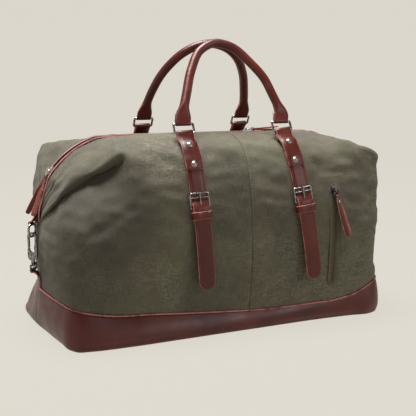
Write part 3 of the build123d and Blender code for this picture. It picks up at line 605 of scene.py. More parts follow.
# the front-left corner has fallen in: a rolled fold hangs over the recessed panel
FOLD = [
    face_column(-148, 140, [(137.5, 175), (132, 208), (126, 236), (117, 257), (109, 269), (98, 280),
     (80, 288), (58, 292.5), (34, 293), (12.5, 290.3)]),
    face_column(-164, 140, [(137.2, 174), (131, 207), (122, 237), (108, 259), (104, 267), (97, 277.5),
     (80, 286), (57, 290.5), (34, 291.5), (12.5, 289.8)]),
    face_column(-171, 139.8, [(137, 174), (130, 206), (117, 237), (91, 260), (97, 262), (99, 274),
     (81, 284.5), (56, 289.5), (34, 291), (12.5, 289.4)]),
    face_column(-182, 139.5, [(136, 172), (127, 203), (109, 234), (74, 256), (90, 252.5), (98.5, 264),
     (81, 276.5), (55, 283), (33, 286.5), (12.5, 287.6)]),
    face_column(-198, 139, [(135, 171), (124, 200), (104, 227), (72, 248), (87, 243.5), (97, 253.5),
     (80, 267), (54, 275), (33, 279.5), (12.5, 281.8)]),
    ((-217, 128), (-217, 138, 138), [(-217, 133, 168), (-217, 120, 196), (-217, 99, 219), (-216, 70, 239),
     (-217.5, 82, 235), (-217.5, 90.5, 244.5), (-216.5, 74, 256.5), (-216.5, 51, 264.5), (-217, 32, 269.5),
     (-217, 12.5, 273)]),
    ((-233, 127), (-234, 135, 134), [(-235, 131, 162), (-236, 116, 186), (-235.5, 96, 208),
     (-231.5, 68, 228), (-235, 77, 225), (-235.5, 83, 234), (-232, 68, 245), (-230.5, 48, 253),
     (-230.5, 31, 258), (-231.5, 12.5, 261.5)]),
    ((-247, 121), (-252, 126.5, 128), [(-254, 120, 150), (-255, 106, 172), (-253, 87, 194),
     (-247, 62, 211.5), (-250, 70, 210), (-250, 75, 218.5), (-245, 60, 230), (-243, 43, 239),
     (-243, 28, 244.5), (-244, 12.5, 248)]),
    ((-259, 95), (-264, 97, 120), [(-266, 90, 138), (-266.5, 79, 157), (-264, 66, 176), (-258.5, 48, 192),
     (-261.5, 57, 196), (-260.5, 61, 205), (-255.5, 48, 218), (-253.5, 35, 227), (-253, 24, 232.5),
     (-254, 12.5, 236.5)]),
    ((-268, 55), (-271.5, 56, 112), [(-272.5, 51, 128), (-272.5, 45, 146), (-271, 37, 163),
     (-267, 27.5, 177), (-268.5, 37, 184), (-266.5, 40, 193), (-263.3, 31, 204), (-261.8, 24, 211),
     (-261.5, 18, 216), (-262.5, 12.5, 219)]),
    ((-273, 20), (-274, 20, 105), [(-274.5, 18, 119), (-274.5, 15, 134), (-274, 13.5, 149),
     (-272.8, 12.3, 161), (-271.3, 16.5, 172), (-269.9, 17, 180), (-268.8, 15.8, 188), (-268.2, 14.4, 193),
     (-268, 13, 196.5), (-268.4, 12, 199)]),
    ((-274, 0), (-274, 0, 100), [(-274, 0, 112), (-274, 0, 124), (-274, 0, 135), (-274, 0, 145),
     (-274, 0, 153), (-274, 0.3, 157), (-274, 0.8, 160), (-274, 1.4, 162), (-274, 2, 163.5),
     (-274, 3, 165)]),
]

STRAIGHT_X = [-124, -96, -68, -26, 19, 56, 94, 128, 165]
# how much lower the right-hand ears stand, by row above the belly, and by column from the middle outwards
DROOP_ROWS = [0, 0, 0.1, 0.3, 0.65, 1.0, 1.0, 1.0, 0.5, 0]
DROOP_COLUMNS = [-0.3, 0.05, 0.4, 0.85, 0.5, 0.2, 0, 0]
RIGHT_DROOP = 13.0
FRONT_DROOP = 5.0        # how much lower the front's upper rows get towards the right-hand corner
# how far the right-hand end stands in from the left one's shape, by row and by column
SLIM_ROWS = [9.5, 8, 7, 5, 2, 0, 0, 0, 0, 0]
SLIM_COLUMNS = [0, 0, 0.5, 1.0, 0.7, 0.3, 0, 0]


def right_ear():
    out = []
    for (start, belly, rows), share, slim in zip(EAR, DROOP_COLUMNS, SLIM_COLUMNS):
        lower = [(-x + 4 * share * d - slim * w, y, z - RIGHT_DROOP * share * d)
                 for (x, y, z), d, w in zip(rows, DROOP_ROWS, SLIM_ROWS)]
        out.append(((-start[0], start[1]), (-belly[0] - slim * 10, belly[1], belly[2]), lower))
    return out


def half_columns(side):
    """Columns of one half of the bag, from the left end seam to the right one."""
    left, rows = (FOLD, STRAIGHT) if side == "front" else (EAR, STRAIGHT_BACK)
    middle = []
    for x in STRAIGHT_X:
        drop = min(max((x - 100) / 65, 0), 1) * FRONT_DROOP if side == "front" else 0
        middle.append(face_column(x, 140, [(y, z - drop * d) for (y, z), d in zip(rows, DROOP_ROWS)]))
    return left[::-1] + middle + right_ear()


def half_net(columns, sign):
    """Control net of a half: columns by rows, first row on the top edge of the leather base."""
    net = []
    for start, belly, rows in columns:
        low = edge_z(start[0])
        points = []
        for f in (0.0, 0.36, 0.7, 1.0):
            bulge = f * (2 - f)
            points.append((start[0] + (belly[0] - start[0]) * bulge, start[1] + (belly[1] - start[1]) * bulge,
                           low + (belly[2] - low) * f))
        net.append(points + rows)
    return np.array(net, float) * (1, sign, 1)


def crease(points, a, b, width, depth):
    """Depth of a soft crease along the line from a to b (x, z on the face), fading at its ends."""
    a, b = np.array(a, float), np.array(b, float)
    flat = points[..., [0, 2]]
    along = (flat - a) @ (b - a) / np.dot(b - a, b - a)
    foot = a + np.clip(along, 0, 1)[..., None] * (b - a)
    away = np.linalg.norm(flat - foot, axis=-1)
    fade = np.clip(np.minimum(along, 1 - along) * 4 + 0.4, 0, 1)
    return -depth * np.exp(-(away / width) ** 2) * fade


FRONT_CREASES = [((-246, 150), (-150, 205), 7, 1.8), ((-240, 118), (-170, 150), 9, 1.5), ((-176, 238),
                 (-96, 262), 10, 2.2), ((-120, 270), (-84, 252), 6, 1.5), ((-40, 276), (-58, 240), 7, 1.6),
                 ((-30, 262), (10, 250), 10, 1.4), ((60, 272), (84, 250), 6, 1.4), ((120, 272),
                 (142, 236), 8, 1.8), ((175, 268), (215, 238), 9, 2.0), ((206, 244), (244, 170), 10, 2.2),
                 ((172, 204), (236, 158), 8, 1.6), ((200, 120), (247, 96), 8, 1.6), ((-60, 120),
                 (-20, 96), 12, 1.3), ((60, 120), (24, 92), 12, 1.3), ((232, 78), (257, 86), 7, 2.0)]
BACK_CREASES = [((-250, 240), (-190, 200), 9, 2.0), ((-180, 260), (-110, 232), 10, 1.8), ((-40, 270),
                (-20, 220), 9, 1.5), ((60, 262), (90, 225), 9, 1.5), ((140, 264), (200, 226), 9, 1.8),
                ((250, 230), (205, 180), 9, 2.0), ((-30, 110), (40, 90), 12, 1.3)]


def calm(points):
    """Share of the wrinkles left near straps, seams, base and zipper, where the cloth is held."""
    x, y, z = np.moveaxis(points, -1, 0)
    keep = np.ones(x.shape)
    for name in STRAPS:
        if name.startswith("front") == bool(np.mean(y) < 0):
            near = 0.15 + 0.85 * np.clip((np.abs(x - strap_x(name, z)) - 13) / 18, 0, 1)
            keep = np.where((z > 60) & (np.abs(y) > 80), keep * near, keep)
    keep *= np.clip((np.abs(x - SEAM_X) + 2) / 12, 0.15, 1)
    keep *= np.clip((np.abs(y) - 6) / 22, 0, 1) + np.where(np.abs(x) > 255, 0.3, 0)
    keep = np.where((np.abs(x - POCKET_X) < 22) & (y < -90) & (z < 232), keep * 0.25, keep)
    return np.clip(keep, 0, 1)


def wrinkle(grid, out, creases, seed):
    """Softens the net's surface into cloth: sags, ripples and creases, moved along the normal."""
    roll = waves(grid * (1, 1, 1.5), 95, 14, seed) * 1.8
    ripple = waves(grid * (1, 1, 1.8), 38, 18, seed + 1) * 0.75
    small = waves(grid, 15, 20, seed + 2) * 0.16
    rows = lengths(grid[grid.shape[0] // 8])
    across = (rows - rows[-1])[None, :] * np.ones(grid.shape[:2])
    pleats = np.sin(across / 15.0 * 2 * np.pi / 1.6 + waves(grid, 70, 8, seed + 4) * 2.2)
    roof = np.clip((grid[..., 2] - 150) / 60, 0, 1) * np.clip((-150 - grid[..., 0]) / 40, 0, 1)
    roof = roof * np.clip((across + 74) / 12, 0, 1) * pleats * 1.3
    low = np.arange(grid.shape[1]) / (grid.shape[1] - 1)
    held = np.clip(low * 9, 0, 1) * np.clip((1 - low) * 9, 0, 1)
    free = calm(grid)
    move = (roll + ripple) * free
    for line in creases:
        move = move + crease(grid, *line) * np.clip(free * 2, 0, 1)
    seam = np.exp(-((grid[..., 0] - SEAM_X) / 2.2) ** 2) * 1.1
    return grid + out * ((move + small + roof) * held - seam * (np.abs(grid[..., 1]) > 20))[..., None]


def outward_normals(grid, sign):
    out = grid_normals(grid)
    return -out if np.mean(out[..., 1] * sign) < 0 else out


def seam_column(grid):
    return int(np.argmin(np.abs(grid[:, grid.shape[1] // 3, 0] - SEAM_X)))


def skin_half(side, creases, seed):
    """Canvas of the front or back half, split at the centre seam into two closed panels."""
    sign = -1 if side == "front" else 1
    grid = smooth(smooth(half_net(half_columns(side), sign), 0, GRID_STEP), 1, GRID_STEP)
    grid = wrinkle(grid, outward_normals(grid, sign), creases, seed)
    out = outward_normals(grid, sign)
    split = seam_column(grid)
    for end, part in (("left", slice(0, split + 1)), ("right", slice(split, None))):
        mesh, uv = slab(*(g[::-sign] for g in (grid[part], grid[part] - out[part] * CANVAS_T)))
        add_piece(f"canvas_panel_{side}_{end}", mesh, [CANVAS], [f"canvas_{side}_{end}"], uvs=uv)
    return grid, out


SKIN = {"front": skin_half("front", FRONT_CREASES, 3), "back": skin_half("back", BACK_CREASES, 40)}


# ------------ lining and seam threads
def lining():
    parts = []
    for side, (grid, out) in SKIN.items():
        order = 1 if side == "front" else -1
        coarse, away = grid[::2, ::2][::order], out[::2, ::2][::order]
        parts.append(slab(coarse - away * 4.5, coarse - away * 5.3)[0])
    add_piece("lining_cloth", merge(parts), [LINING_CLOTH], ["lining"])


def seam_stitches():
    """Top-stitching beside the centre seams."""
    for side, (grid, out) in SKIN.items():
        k = seam_column(grid)
        column = grid[k] + (grid[k + 1] - grid[k]) * (2.6 / GRID_STEP)
        add_piece(f"seam_stitching_{side}", stitches(column[3:-4], out[k][3:-4]), [CANVAS_THREAD])


# ------------ leather base
# lower edge of the base, from the left end seam to the right one, y outwards
FLOOR_FRONT = [(-279, 0), (-274, 28), (-269, 60), (-263, 95), (-257, 128), (-247, 142), (-230, 145),
               (-171, 146), (-100, 142), (-22, 137), (60, 132), (127, 128), (200, 128), (232, 130),
               (250, 122), (262, 98), (270, 50), (275, 20), (277, 0)]
FLOOR_BACK = [(-279, 0), (-282, 25), (-284, 55), (-284.5, 88), (-279, 110), (-262, 122), (-230, 126),
              (-140, 126), (0, 126), (140, 126), (215, 126), (240, 123), (256, 112), (265, 88), (271, 50),
              (275, 20), (277, 0)]
WALL_SHARES = (1.0, 0.85, 0.68, 0.5, 0.34, 0.2)                   # heights of the wall's rows
FOOT_ROWS = ((-0.8, 6.5), (0.3, 2.6), (1.8, 0.7), (4.5, 0.0))     # (inward, height) where it turns under


def spread(line, count):
    """Points of a line, evenly spaced."""
    s = lengths(line)
    return point_at(np.linspace(0, s[-1], count), s, line)


def base_half(side, plan):
    """Leather wall of one half, from its raw top edge down to the flat bottom; returns the top edge."""
    sign = -1 if side == "front" else 1
    tops = smooth([(x, y, edge_z(x)) for (x, y), _, _ in half_columns(side)], 0, GRID_STEP)
    floors = smooth([(x, y, 0) for x, y in plan], 0, GRID_STEP)
    count = max(len(tops), len(floors))
    tops, floors = spread(tops, count), spread(floors, count)
    t = tangents(floors)
    inward = unit(np.stack([t[:, 1], -t[:, 0], np.zeros(len(t))], -1))
    inward = np.where((np.sum(inward * -floors, axis=1) < 0)[:, None], -inward, inward)
    inward[[0, -1]] = [(np.sign(-floors[0, 0]), 0, 0), (np.sign(-floors[-1, 0]), 0, 0)]
    rect = np.stack([np.clip(floors[:, 0], -BOTTOM_X, BOTTOM_X), np.clip(floors[:, 1], 0, BOTTOM_Y),
                     np.zeros(len(floors))], -1)
    rows = []
    for f in WALL_SHARES:
        row = floors + (tops - floors) * f - inward * (3.2 * math.sin(math.pi * f) + 1.0)
        row[:, 2] = 6 + (tops[:, 2] - 6) * ((f - 0.1) / 0.9)
        rows.append(row)
    for move, z in FOOT_ROWS:
        row = floors + inward * move
        row[:, 2] = z
        rows.append(row)
    rows += [floors * 0.25 + rect * 0.75, rect]
    net = np.stack(rows, 1)
    net[..., 2] = np.maximum(net[..., 2], 0.0)
    net[:, -2:, 2] = 0.0
    gap = 2.6 * np.clip((net[..., 2] - 9) / 50, 0, 1)     # the end seam stands open above the floor
    net[..., 1] = sign * np.maximum(net[..., 1], gap)
    standing = len(rows) - 2
    grid = np.concatenate([smooth(net[:, :standing], 1, 5.0), net[:, standing:]], axis=1)
    out = grid_normals(grid)
    if np.mean(out[:, 2, 1] * sign) < 0:
        out = -out
    fade = np.clip((grid[..., 2] - 4) / 14, 0, 1)
    grid = grid + out * ((waves(grid, 120, 10, 8) * 0.7 + waves(grid, 40, 10, 9) * 0.2) * fade)[..., None]
    inner = grid - out * LEATHER_T
    inner[..., 2] = np.maximum(inner[..., 2], 0.4)
    inner[:, -4:, 2] = np.maximum(inner[:, -4:, 2], 2.0)
    mesh, uv = slab(grid[::-sign, ::-1], inner[::-sign, ::-1])
    add_piece(f"base_skin_{side}", mesh, [BASE_LEATHER, RAW_EDGE], [f"base_leather_{side}"],
              uvs=uv)
    return grid[:, 0]


def base():
    front, back = base_half("front", FLOOR_FRONT), base_half("back", FLOOR_BACK)
    edge = tube_mesh(np.concatenate([front, back[::-1][1:-1]]), 1.25, 8, close=True)
    add_piece("base_edge_piping", edge, [RAW_EDGE], ["base_piping"])


# ------------ straps, buckles, keepers, tabs
# (height, lift off the bag's face) along each piece
STRAP_PATH = [(78, 12.6), (92, 11.2), (104, 10.2), (120, 9.0), (135, 7.8), (150, 6.9), (162, 6.4), (180, 6.4),
              (193, 7.7), (199, 5.2), (205, 1.6), (210, 0.8), (220, 0.7), (240, 0.6), (250, 0.6), (268, 0.6)]
CHAPE_PATH = [(160.5, 1.5), (166, 1.5), (174, 1.5), (184, 1.5), (190, 1.6)]
TAB_HEIGHTS = (247.7, 254, 261, 268, 275, 281)
TAB_STITCH = (3.8, 2.7, 0.3)


def strap(name):
    half = LEATHER_T / 2
    across = strap_across(name)
    end = name.split("_")[1]
    path = tip_path([on_face(strap_x(name, z), z, lift + half) for z, lift in STRAP_PATH], 4.0, 16.0)
    width = round_tip(path, 2 * STRAP_HALF, least=3.0)
    leather_piece(f"strap_leather_{end}", ribbon(path, across, width, LEATHER_T), f"strap_{end}")
    path = path[3:]
    out = unit(np.cross(across, tangents(path)))
    path = path + out * (half + 0.12)
    rows = [stitches(path + across * offset, out, 4.6, 3.2, 0.26) for offset in (-9.8, 9.8)]
    thread_piece(f"strap_stitching_{end}", rows)


def chapes():
    """Leathers that hold the buckles: a pointed leaf below the heel bar and two loops round it."""
    parts = []
    for name in FRONT_STRAPS:
        across = strap_across(name)
        path = smooth([on_face(strap_x(name, z), z, lift) for z, lift in CHAPE_PATH], 0, 3.0)
        parts.append(ribbon(path, across, np.minimum(4 + lengths(path) * 1.7, 24.0), 1.7))
        heel = np.array(on_face(strap_x(name, BUCKLE_HEEL_Z), BUCKLE_HEEL_Z, 3.9))
        for low, high in ((-11.8, -2.2), (2.2, 11.8)):
            half = (high - low) / 2
            section = ((1.6, -half), (3.0, -half), (3.2, 0), (3.0, half), (1.6, half))
            centre = heel + across * (low + high) / 2
            rings = [np.array([centre + np.array([0, c, s]) * r + across * w for r, w in section])
                     for c, s in circle(20)]
            parts.append(loft_rings(rings, close=True, edges=(0, 3)))
    leather_piece("buckle_leathers", merge(parts), "buckle_chapes")


def keepers():
    """Leather loops that hold the straps below the buckles."""
    half, low, high, corner = 14.2, 1.2, 10.6, 2.2
    left = [(-half, low), (-half, high - corner), (-half + 0.7, high - 0.7), (-half + corner, high)]
    loop = left + [(0, high + 0.3)] + [(-a, b) for a, b in left[::-1]]
    parts = []
    for name in FRONT_STRAPS:
        centre = np.array(on_face(strap_x(name, KEEPER_Z), KEEPER_Z, 0.0))
        out, across = face_normal(KEEPER_Z), strap_across(name)
        path = smooth([centre + across * a + out * b for a, b in loop], 0, 1.5)
        parts.append(ribbon(path, np.cross(out, across), 11.0, 1.7))
    leather_piece("keeper_loops", merge(parts), "strap_keepers")


def tab(name):
    """Patch riveted to the bag, folded over the handle ring's lower bar."""
    sign = -1 if name.startswith("front") else 1
    x = strap_x(name, HINGE_Z)
    points = [on_face(strap_x(name, z), z, 3.0 + LEATHER_T / 2) for z in TAB_HEIGHTS]
    points += [(x, -97.2, 289.0), (x, -92.0, 295.6)]
    for angle in (165, 120, 75, 30, -15, -50):
        a = math.radians(angle)
        points.append((x, -HINGE_Y + BAR_WRAP * math.cos(a), HINGE_Z + BAR_WRAP * math.sin(a)))
    points += [(x, -89.6, 292.6), (x, -94.5, 287.0)]
    path = smooth(points, 0, 1.6) * (1, -sign, 1)
    across = strap_across(name)
    width = np.where(lengths(path) > 42, 25.0, 25.6)
    leather_piece(f"ring_tab_{name}", ribbon(path, across * -sign, width, LEATHER_T), f"tab_{name}")
    flat = path[lengths(path) < 34]
    out = unit(np.cross(across, tangents(flat)))
    out = np.where((np.sum(out * (0, sign, 0.2), axis=1) < 0)[:, None], -out, out)
    flat = flat + out * 1.2
    rows = [stitches((flat + across * offset)[2:], out[2:], *TAB_STITCH) for offset in (-10.2, 10.2)]
    foot = [flat[2] + across * a for a in np.linspace(-9.4, 9.4, 9)]
    thread_piece(f"tab_stitching_{name}", rows + [stitches(foot, out[2], *TAB_STITCH)])


# ------------ handles
FLAT_HALF_W, FLAT_HALF_T = 12.3, 3.0     # a handle's flat ends
ROLL_FROM, ROLL_OVER = 26, 24            # height where they start to roll up, and over how much
EDGE_TOP, SEAM_FROM = 44, 40             # heights where the cut edges end and the seam begins
# (x, height above the hinge line in the plane of the handle)
FRONT_ARCH = [(-65.5, 30), (-61, 46), (-54, 66), (-40, 104), (-16, 142), (9.6, 154.5), (36, 148), (64, 118),
              (80, 93), (89, 62), (93.5, 44), (96, 30)]
BACK_ARCH = [(-81, 30), (-79, 48), (-73, 72), (-65, 94), (-52, 116), (-33, 137), (-12, 149.5), (10, 154),
             (38, 147), (64, 126), (79, 100), (88, 70), (93, 46), (94.5, 30)]


def lean_point(x, height, sign):
    return (x, sign * (HINGE_Y - height * math.sin(LEAN)), HINGE_Z + height * math.cos(LEAN))


def handle(side, arch):
    """Rolled leather grip whose flat ends fold round the ring bars, with a seam along its underside."""
    sign = -1 if side == "front" else 1
    body = f"{side}_handle"
    feet = [strap_x(f"{side}_{end}", HINGE_Z) for end in ("left", "right")]
    low = RING_BAR_H - BAR_WRAP
    arch = [(feet[0], low), (feet[0], RING_BAR_H)] + arch + [(feet[1], RING_BAR_H), (feet[1], low)]
    arch = smooth(arch, 0, 3.0)
    heights = arch[:, 1]
    path = np.array([lean_point(x, h, sign) for x, h in arch])
    t = tangents(path)
    up = np.array([0, sign * math.cos(LEAN), math.sin(LEAN)])
    sides = 24
    corners = [(math.cos(a), math.sin(a)) for a in 2 * np.pi * (np.arange(sides) + 0.5) / sides]
    rings = []
    for p, h, d in zip(path, heights, t):
        across = unit(np.cross(d, up))
        f = min(max((h - ROLL_FROM) / ROLL_OVER, 0), 1)
        f = f * f * (3 - 2 * f)
        wide = FLAT_HALF_W + (HANDLE_R - FLAT_HALF_W) * f ** 0.7
        near = min(max((RING_BAR_H - h) / BAR_WRAP, 0), 1)
        thick = FLAT_HALF_T + (HANDLE_R - FLAT_HALF_T) * f
        thick = max(thick * math.sqrt(max(1 - 0.92 * near ** 2, 0)), 0.9)
        power = 2 / (4.5 - 2.5 * f)
        rings.append(np.array([p + across * wide * math.copysign(abs(c) ** power, c)
                               + up * thick * math.copysign(abs(s) ** power, s) for c, s in corners]))
    verts, faces, _ = loft_rings(rings)
    # the cut edges show where the ends are flat
    raw = [int(abs(math.sin(2 * math.pi * (k + 1) / sides)) < 0.2) for k in range(sides)]
    index = sum((raw if h < EDGE_TOP else [0] * sides for h in heights[:-1]), []) + [0, 0]
    add_piece(f"grip_{side}", (verts, faces, index), [STRAP_LEATHER, RAW_EDGE],
              [f"handle_{side}"], body)
    grip = path[heights > SEAM_FROM]
    across = unit(np.cross(t[heights > SEAM_FROM], up))
    inside = np.sum(across * (path.mean(axis=0) - grip), axis=1) > 0
    under = unit(np.where(inside[:, None], across, -across) * 0.9 + up * 0.45)
    seam = ribbon(grip + under * (HANDLE_R - 0.2), under, 2.0, 1.5)
    add_piece(f"grip_seam_{side}", seam, [STRAP_LEATHER], body=body)
    rows = []
    lift = np.linspace(3.05, 4.0, 7)[:, None]
    for offset in (-9.6, 9.6):
        inset = [offset * (1 - 0.18 * k / 6) for k in range(7)]
        for x in feet:
            line = np.array([lean_point(x + inset[k], 20 + k * 2.6, sign) for k in range(7)])
            rows += [stitches(line + up * face * lift, up * face, *TAB_STITCH) for face in (1, -1)]
    thread_piece(f"grip_stitching_{side}", rows, body)
    core = tube_mesh(grip[4:-4], CORE_R)
    add_piece(f"grip_core_{side}", core, [ROPE], [f"handle_core_{side}"], body)


# ------------ main zipper
def zip_line():
    """Zipper line (x, z) from the left end to the right end."""
    left = [(-END_X, ZIP_END_Z + 1.5), (-END_X + 0.4, 180), (-END_X + 7.6, 206), (-END_X + 12, 220)]
    left += [(x, arc_z(x)) for x in np.linspace(-258, -186, 6)]
    left += [(-160, TOP_Z - 0.9), (-135, TOP_Z)]
    right = [(-x, z) for x, z in reversed(left)]
    return smooth(left + [(-60, TOP_Z), (60, TOP_Z)] + right, 0, 3.0)


ZIP = zip_line()
TAPE_T = 0.9
ZIP_TAPE_W, POCKET_TAPE_W = 14.8, 15.0
FACING_W, FACING_T = 6.4, 1.5


def zip_layer(y, lift):
    """Points along the zipper at side offset y and lift above the line, and their outward normals."""
    t = tangents(ZIP)
    normal = np.stack([-t[:, 1], np.zeros(len(t)), t[:, 0]], -1)
    return np.insert(ZIP, 1, float(y), axis=1) + normal * lift, normal


def main_zipper():
    tapes = [ribbon(zip_layer(sign * 9.6, -3.9)[0], (0, 1, 0), ZIP_TAPE_W, TAPE_T) for sign in (-1, 1)]
    add_piece("zip_tapes", merge(tapes), [TAPE], ["zip_tape"])
    for sign, side in ((-1, "front"), (1, "back")):
        path, normal = zip_layer(sign * 10.9, 0.3)
        facing = ribbon(path, (0, 1, 0), FACING_W, FACING_T, normal)
        add_piece(f"zip_facing_strip_{side}", facing, [FACING_SHEEN_LEATHER, RAW_EDGE],
                  [f"zip_facing_{side}"], sharp=50)
        thread_piece(f"zip_stitching_{side}", [stitches(*zip_layer(sign * 12.4, 1.35), radius=0.28)])
    path, normal = zip_layer(0, -3.8)
    s = lengths(path)
    rows = teeth(path, 2.6, (0, 1, 0), 0.75, (1.5, 2.7, 2.6),
                 lambda at, centre: unit(point_at(at, s, normal)))
    add_piece("zip_teeth_rows", rows, [BLACK_METAL], ["zip_teeth"], sharp=40)


# ------------ pocket zipper
def pocket():
    """Upright zipper let into the front: tape, teeth, stitched frame and raised welts."""
    low, high = POCKET_Z
    tape = smooth([on_face(POCKET_X, z, 0.75) for z in np.linspace(low, high, 24)], 0, 1.0)
    tape = ribbon(tape, (1, 0, 0), round_tip(tape, POCKET_TAPE_W, True, 3.0), TAPE_T)
    add_piece("pocket_zip_tape", tape, [POCKET_TAPE], ["pocket_zip"])
    heights = np.linspace(low + 6, high - 6, 40)
    line = np.array([on_face(POCKET_X, z, 1.7) for z in heights])
    rows = teeth(line, 2.0, (1, 0, 0), 0.7, (1.15, 2.6, 1.5), lambda at, centre: face_normal(centre[2]))
    add_piece("pocket_zip_teeth", rows, [POCKET_TAPE], sharp=40)
    r = 6.2
    line = [(POCKET_X + r * c, high - r - 1.4 + r * s) for c, s in circle(13, 0, 180)]
    line += [(POCKET_X - r, z) for z in np.linspace(high - r - 8, low + r + 8, 30)]
    line += [(POCKET_X + r * c, low + r + 1.4 + r * s) for c, s in circle(13, 180, 360)]
    line += [(POCKET_X + r, z) for z in np.linspace(low + r + 8, high - r - 8, 30)]
    seam = stitches([on_face(x, z, 1.25) for x, z in line], (0, -1, 0), 3.6, 2.6, 0.26)
    add_piece("pocket_stitching", seam, [CANVAS_THREAD])
    welts = []
    for offset in (-8.2, 8.2):
        line = [on_face(POCKET_X + offset, z, 0.7) for z in heights]
        welts.append(tube_mesh(line, round_tip(line, 1.9, True, 0.6) / 2 + 0.3, 8))
    add_piece("pocket_welts", merge(welts), [CANVAS])


# ------------ zipper pulls
PULL_LENGTHS = (0, 0.12, 0.3, 0.5, 0.72, 0.9, 1.0)
WIDE_PULL = [5.2, 6.4, 8.4, 9.8, 9.2, 6.6]
SLIM_PULL = [5.2, 6.0, 7.2, 8.0, 7.4, 5.0]
BAIL = 10.4              # from a slider's pivot to the fold of its leather


def pull_tail(name, pivot, down, out, length, fan, side_fan, twist, widths=WIDE_PULL):
    """Folded leather tail below a wire bail: two legs that fan apart, flesh side inwards."""
    down, out = unit(down), unit(out)
    across = unit(np.cross(down, out))
    start = np.array(pivot, float) + down * BAIL
    parts = []
    for sign in (1, -1):
        points = []
        for f in PULL_LENGTHS:
            spread_out = sign * (1.0 + fan * f ** 1.5 * length)
            bend = math.sin(math.pi * f) * sign * 0.9
            points.append(start + down * (1.5 + f * length) + out * spread_out * 0.9
                          + across * (sign * side_fan * f * length + bend))
        path = smooth(points, 0, 2.0)
        s = lengths(path) / lengths(path)[-1]
        width = np.interp(s, [0, 0.15, 0.55, 0.85, 0.96, 1.0], widths)
        roll = np.radians(twist + 14 * sign) * np.clip(s * 2.2, 0, 1)[:, None]
        verts, faces, index = ribbon(path, across * np.cos(roll) + out * np.sin(roll), width, 1.4)
        for ring in range(0, 12 * (len(path) - 1), 12):
            for k in (8, 9, 10) if sign > 0 else (2, 3, 4):
                index[ring + k] = 2
        parts.append((verts, faces, index))
    loop = [start - down * 2.0 * s + out * 2.0 * c for c, s in circle(13, 0, 180)]
    loop = [start + down * 3.0 + out * 1.6] + loop + [start + down * 3.0 - out * 1.6]
    parts.append(ribbon(smooth(loop, 0, 0.8), across, 4.2, 1.3))
    add_piece(f"{name}_pull_tail", merge(parts), [STRAP_LEATHER, RAW_EDGE, FLESH],
              [f"{name}_pull"], f"{name}_zip_pull", sharp=50)
    return start, down, out, across


def pulls():
    tilt = math.radians(24.0)
    pull_tail("left", (-255.757, 0, 243.473), (-math.sin(tilt), 0, -math.cos(tilt)),
              (-math.cos(tilt), 0, math.sin(tilt)), 62, 0.05, 0.05, 60, SLIM_PULL)
    pull_tail("right", (70, 0, 295.7), (1, 0, 0), (0, 0, 1), 44, 0.05, 0.03, 0)
    tilt = math.radians(14.0)
    start, down, out, across = pull_tail(
        "pocket", (159, -138.46, 209.333), (0.21, -math.sin(tilt), -math.cos(tilt)),
        (0, -math.cos(tilt), math.sin(tilt)), 62, 0.04, 0.03, -24)
    centre = start + down * 9 + out * 2.2
    dome = ((1.9, -0.6), (2.1, 0.0), (1.9, 0.5), (1.3, 0.9), (0.5, 1.1))
    rings = [centre + out * h + circle(14) @ np.array([down, across]) * r for r, h in dome]
    add_piece("pocket_pull_tail_rivet", loft_rings(rings), [SILVER], body="pocket_zip_pull")


# ------------ the ends
# (x, height) of the tabs at the left end, before they turn round their bars
END_UPPER = [(-265.8, 214), (-268.6, 206), (-272.0, 196), (-275.6, 184), (-277.0, 176), (-279.2, 170)]
END_LOWER = [(-275.9, z) for z in (49.8, 53, 57, 62, 68, 74, 80)] + [(-277.6, 85.0)]


def end_tab(name, end, sign, flat, bar_z, angles, width, tip=False):
    """Leather tab down the end seam, turned to face the hook where it folds round a bar at height bar_z."""
    bar = unit((math.sin(END_TURN), math.cos(END_TURN), 0))
    hook = unit((math.cos(END_TURN), -math.sin(END_TURN), 0))
    flat = [(x, 0, z) for x, z in flat]
    turn = [(-END_RING_X, 0, bar_z) + (hook * c + (0, 0, s)) * 2.75 for c, s in circle(9, *angles)]
    path = smooth(flat + turn, 0, 1.5)
    share = np.clip((lengths(path) - lengths(flat)[-1] * 0.75) / 14, 0, 1)[:, None]
    across = np.array([0, 1.0, 0]) * (1 - share) + bar * share
    widths = np.interp(share[:, 0], [0, 1], [width, 12.4])
    if tip:
        widths = np.minimum(widths, round_tip(path, width, least=3.0))
    mirror = np.array([-sign, 1, 1])
    mesh = ribbon(path * mirror, across * mirror * -sign, widths, 2.0)
    leather_piece(f"end_loop_{name}_{end}", mesh, f"end_tab_{name}_{end}")


def end_ring(end, sign):
    """Rounded ring at the bag's end, hanging from the upper tab."""
    bar = unit((math.sin(END_TURN), math.cos(END_TURN) * -sign, 0))
    half_width, half_height = END_RING_HALF
    ring = [bar * half_width * math.copysign(abs(c) ** 0.8, c)
            + (sign * END_RING_X, 0, END_RING_Z + half_height * s) for c, s in circle(48)]
    add_piece(f"end_ring_oval_{end}", tube_mesh(ring, 1.75, close=True), [GUNMETAL],
              [f"end_ring_{end}"], f"{end}_end_ring")


ENDS = (("left", -1), ("right", 1))


def ends():
    for end, sign in ENDS:
        end_tab("upper", end, sign, END_UPPER, 163, (75, 300), 18.0)
        end_tab("lower", end, sign, END_LOWER, 90.5, (-60, -300), 19.0, True)
    for end, sign in ENDS:
        end_ring(end, sign)


# ------------ everything else keeps its CAD shape
FINISHES = (
    (GUNMETAL, [f"handle_ring_{name}" for name in STRAPS]),
    (DARK_METAL, ["buckle_frames"] + [f"{name}_{end}" for end, _ in ENDS
                                      for name in ("buckle_prong", "swivel_eye", "snap_hook", "hook_gate")]),
    (SILVER, ["front_tab_rivets", "back_tab_rivets", "end_rivets"]),
    (NICKEL, ["main_slider_left", "main_slider_right", "left_pull_bail", "right_pull_bail"]),
    (BLACK_METAL, ["pocket_slider", "pocket_pull_bail"]),
    (BASE_LEATHER, ["base_bottom"]), (BOARD, ["base_board"]), (LINING_CLOTH, ["pocket_bag"]),
)


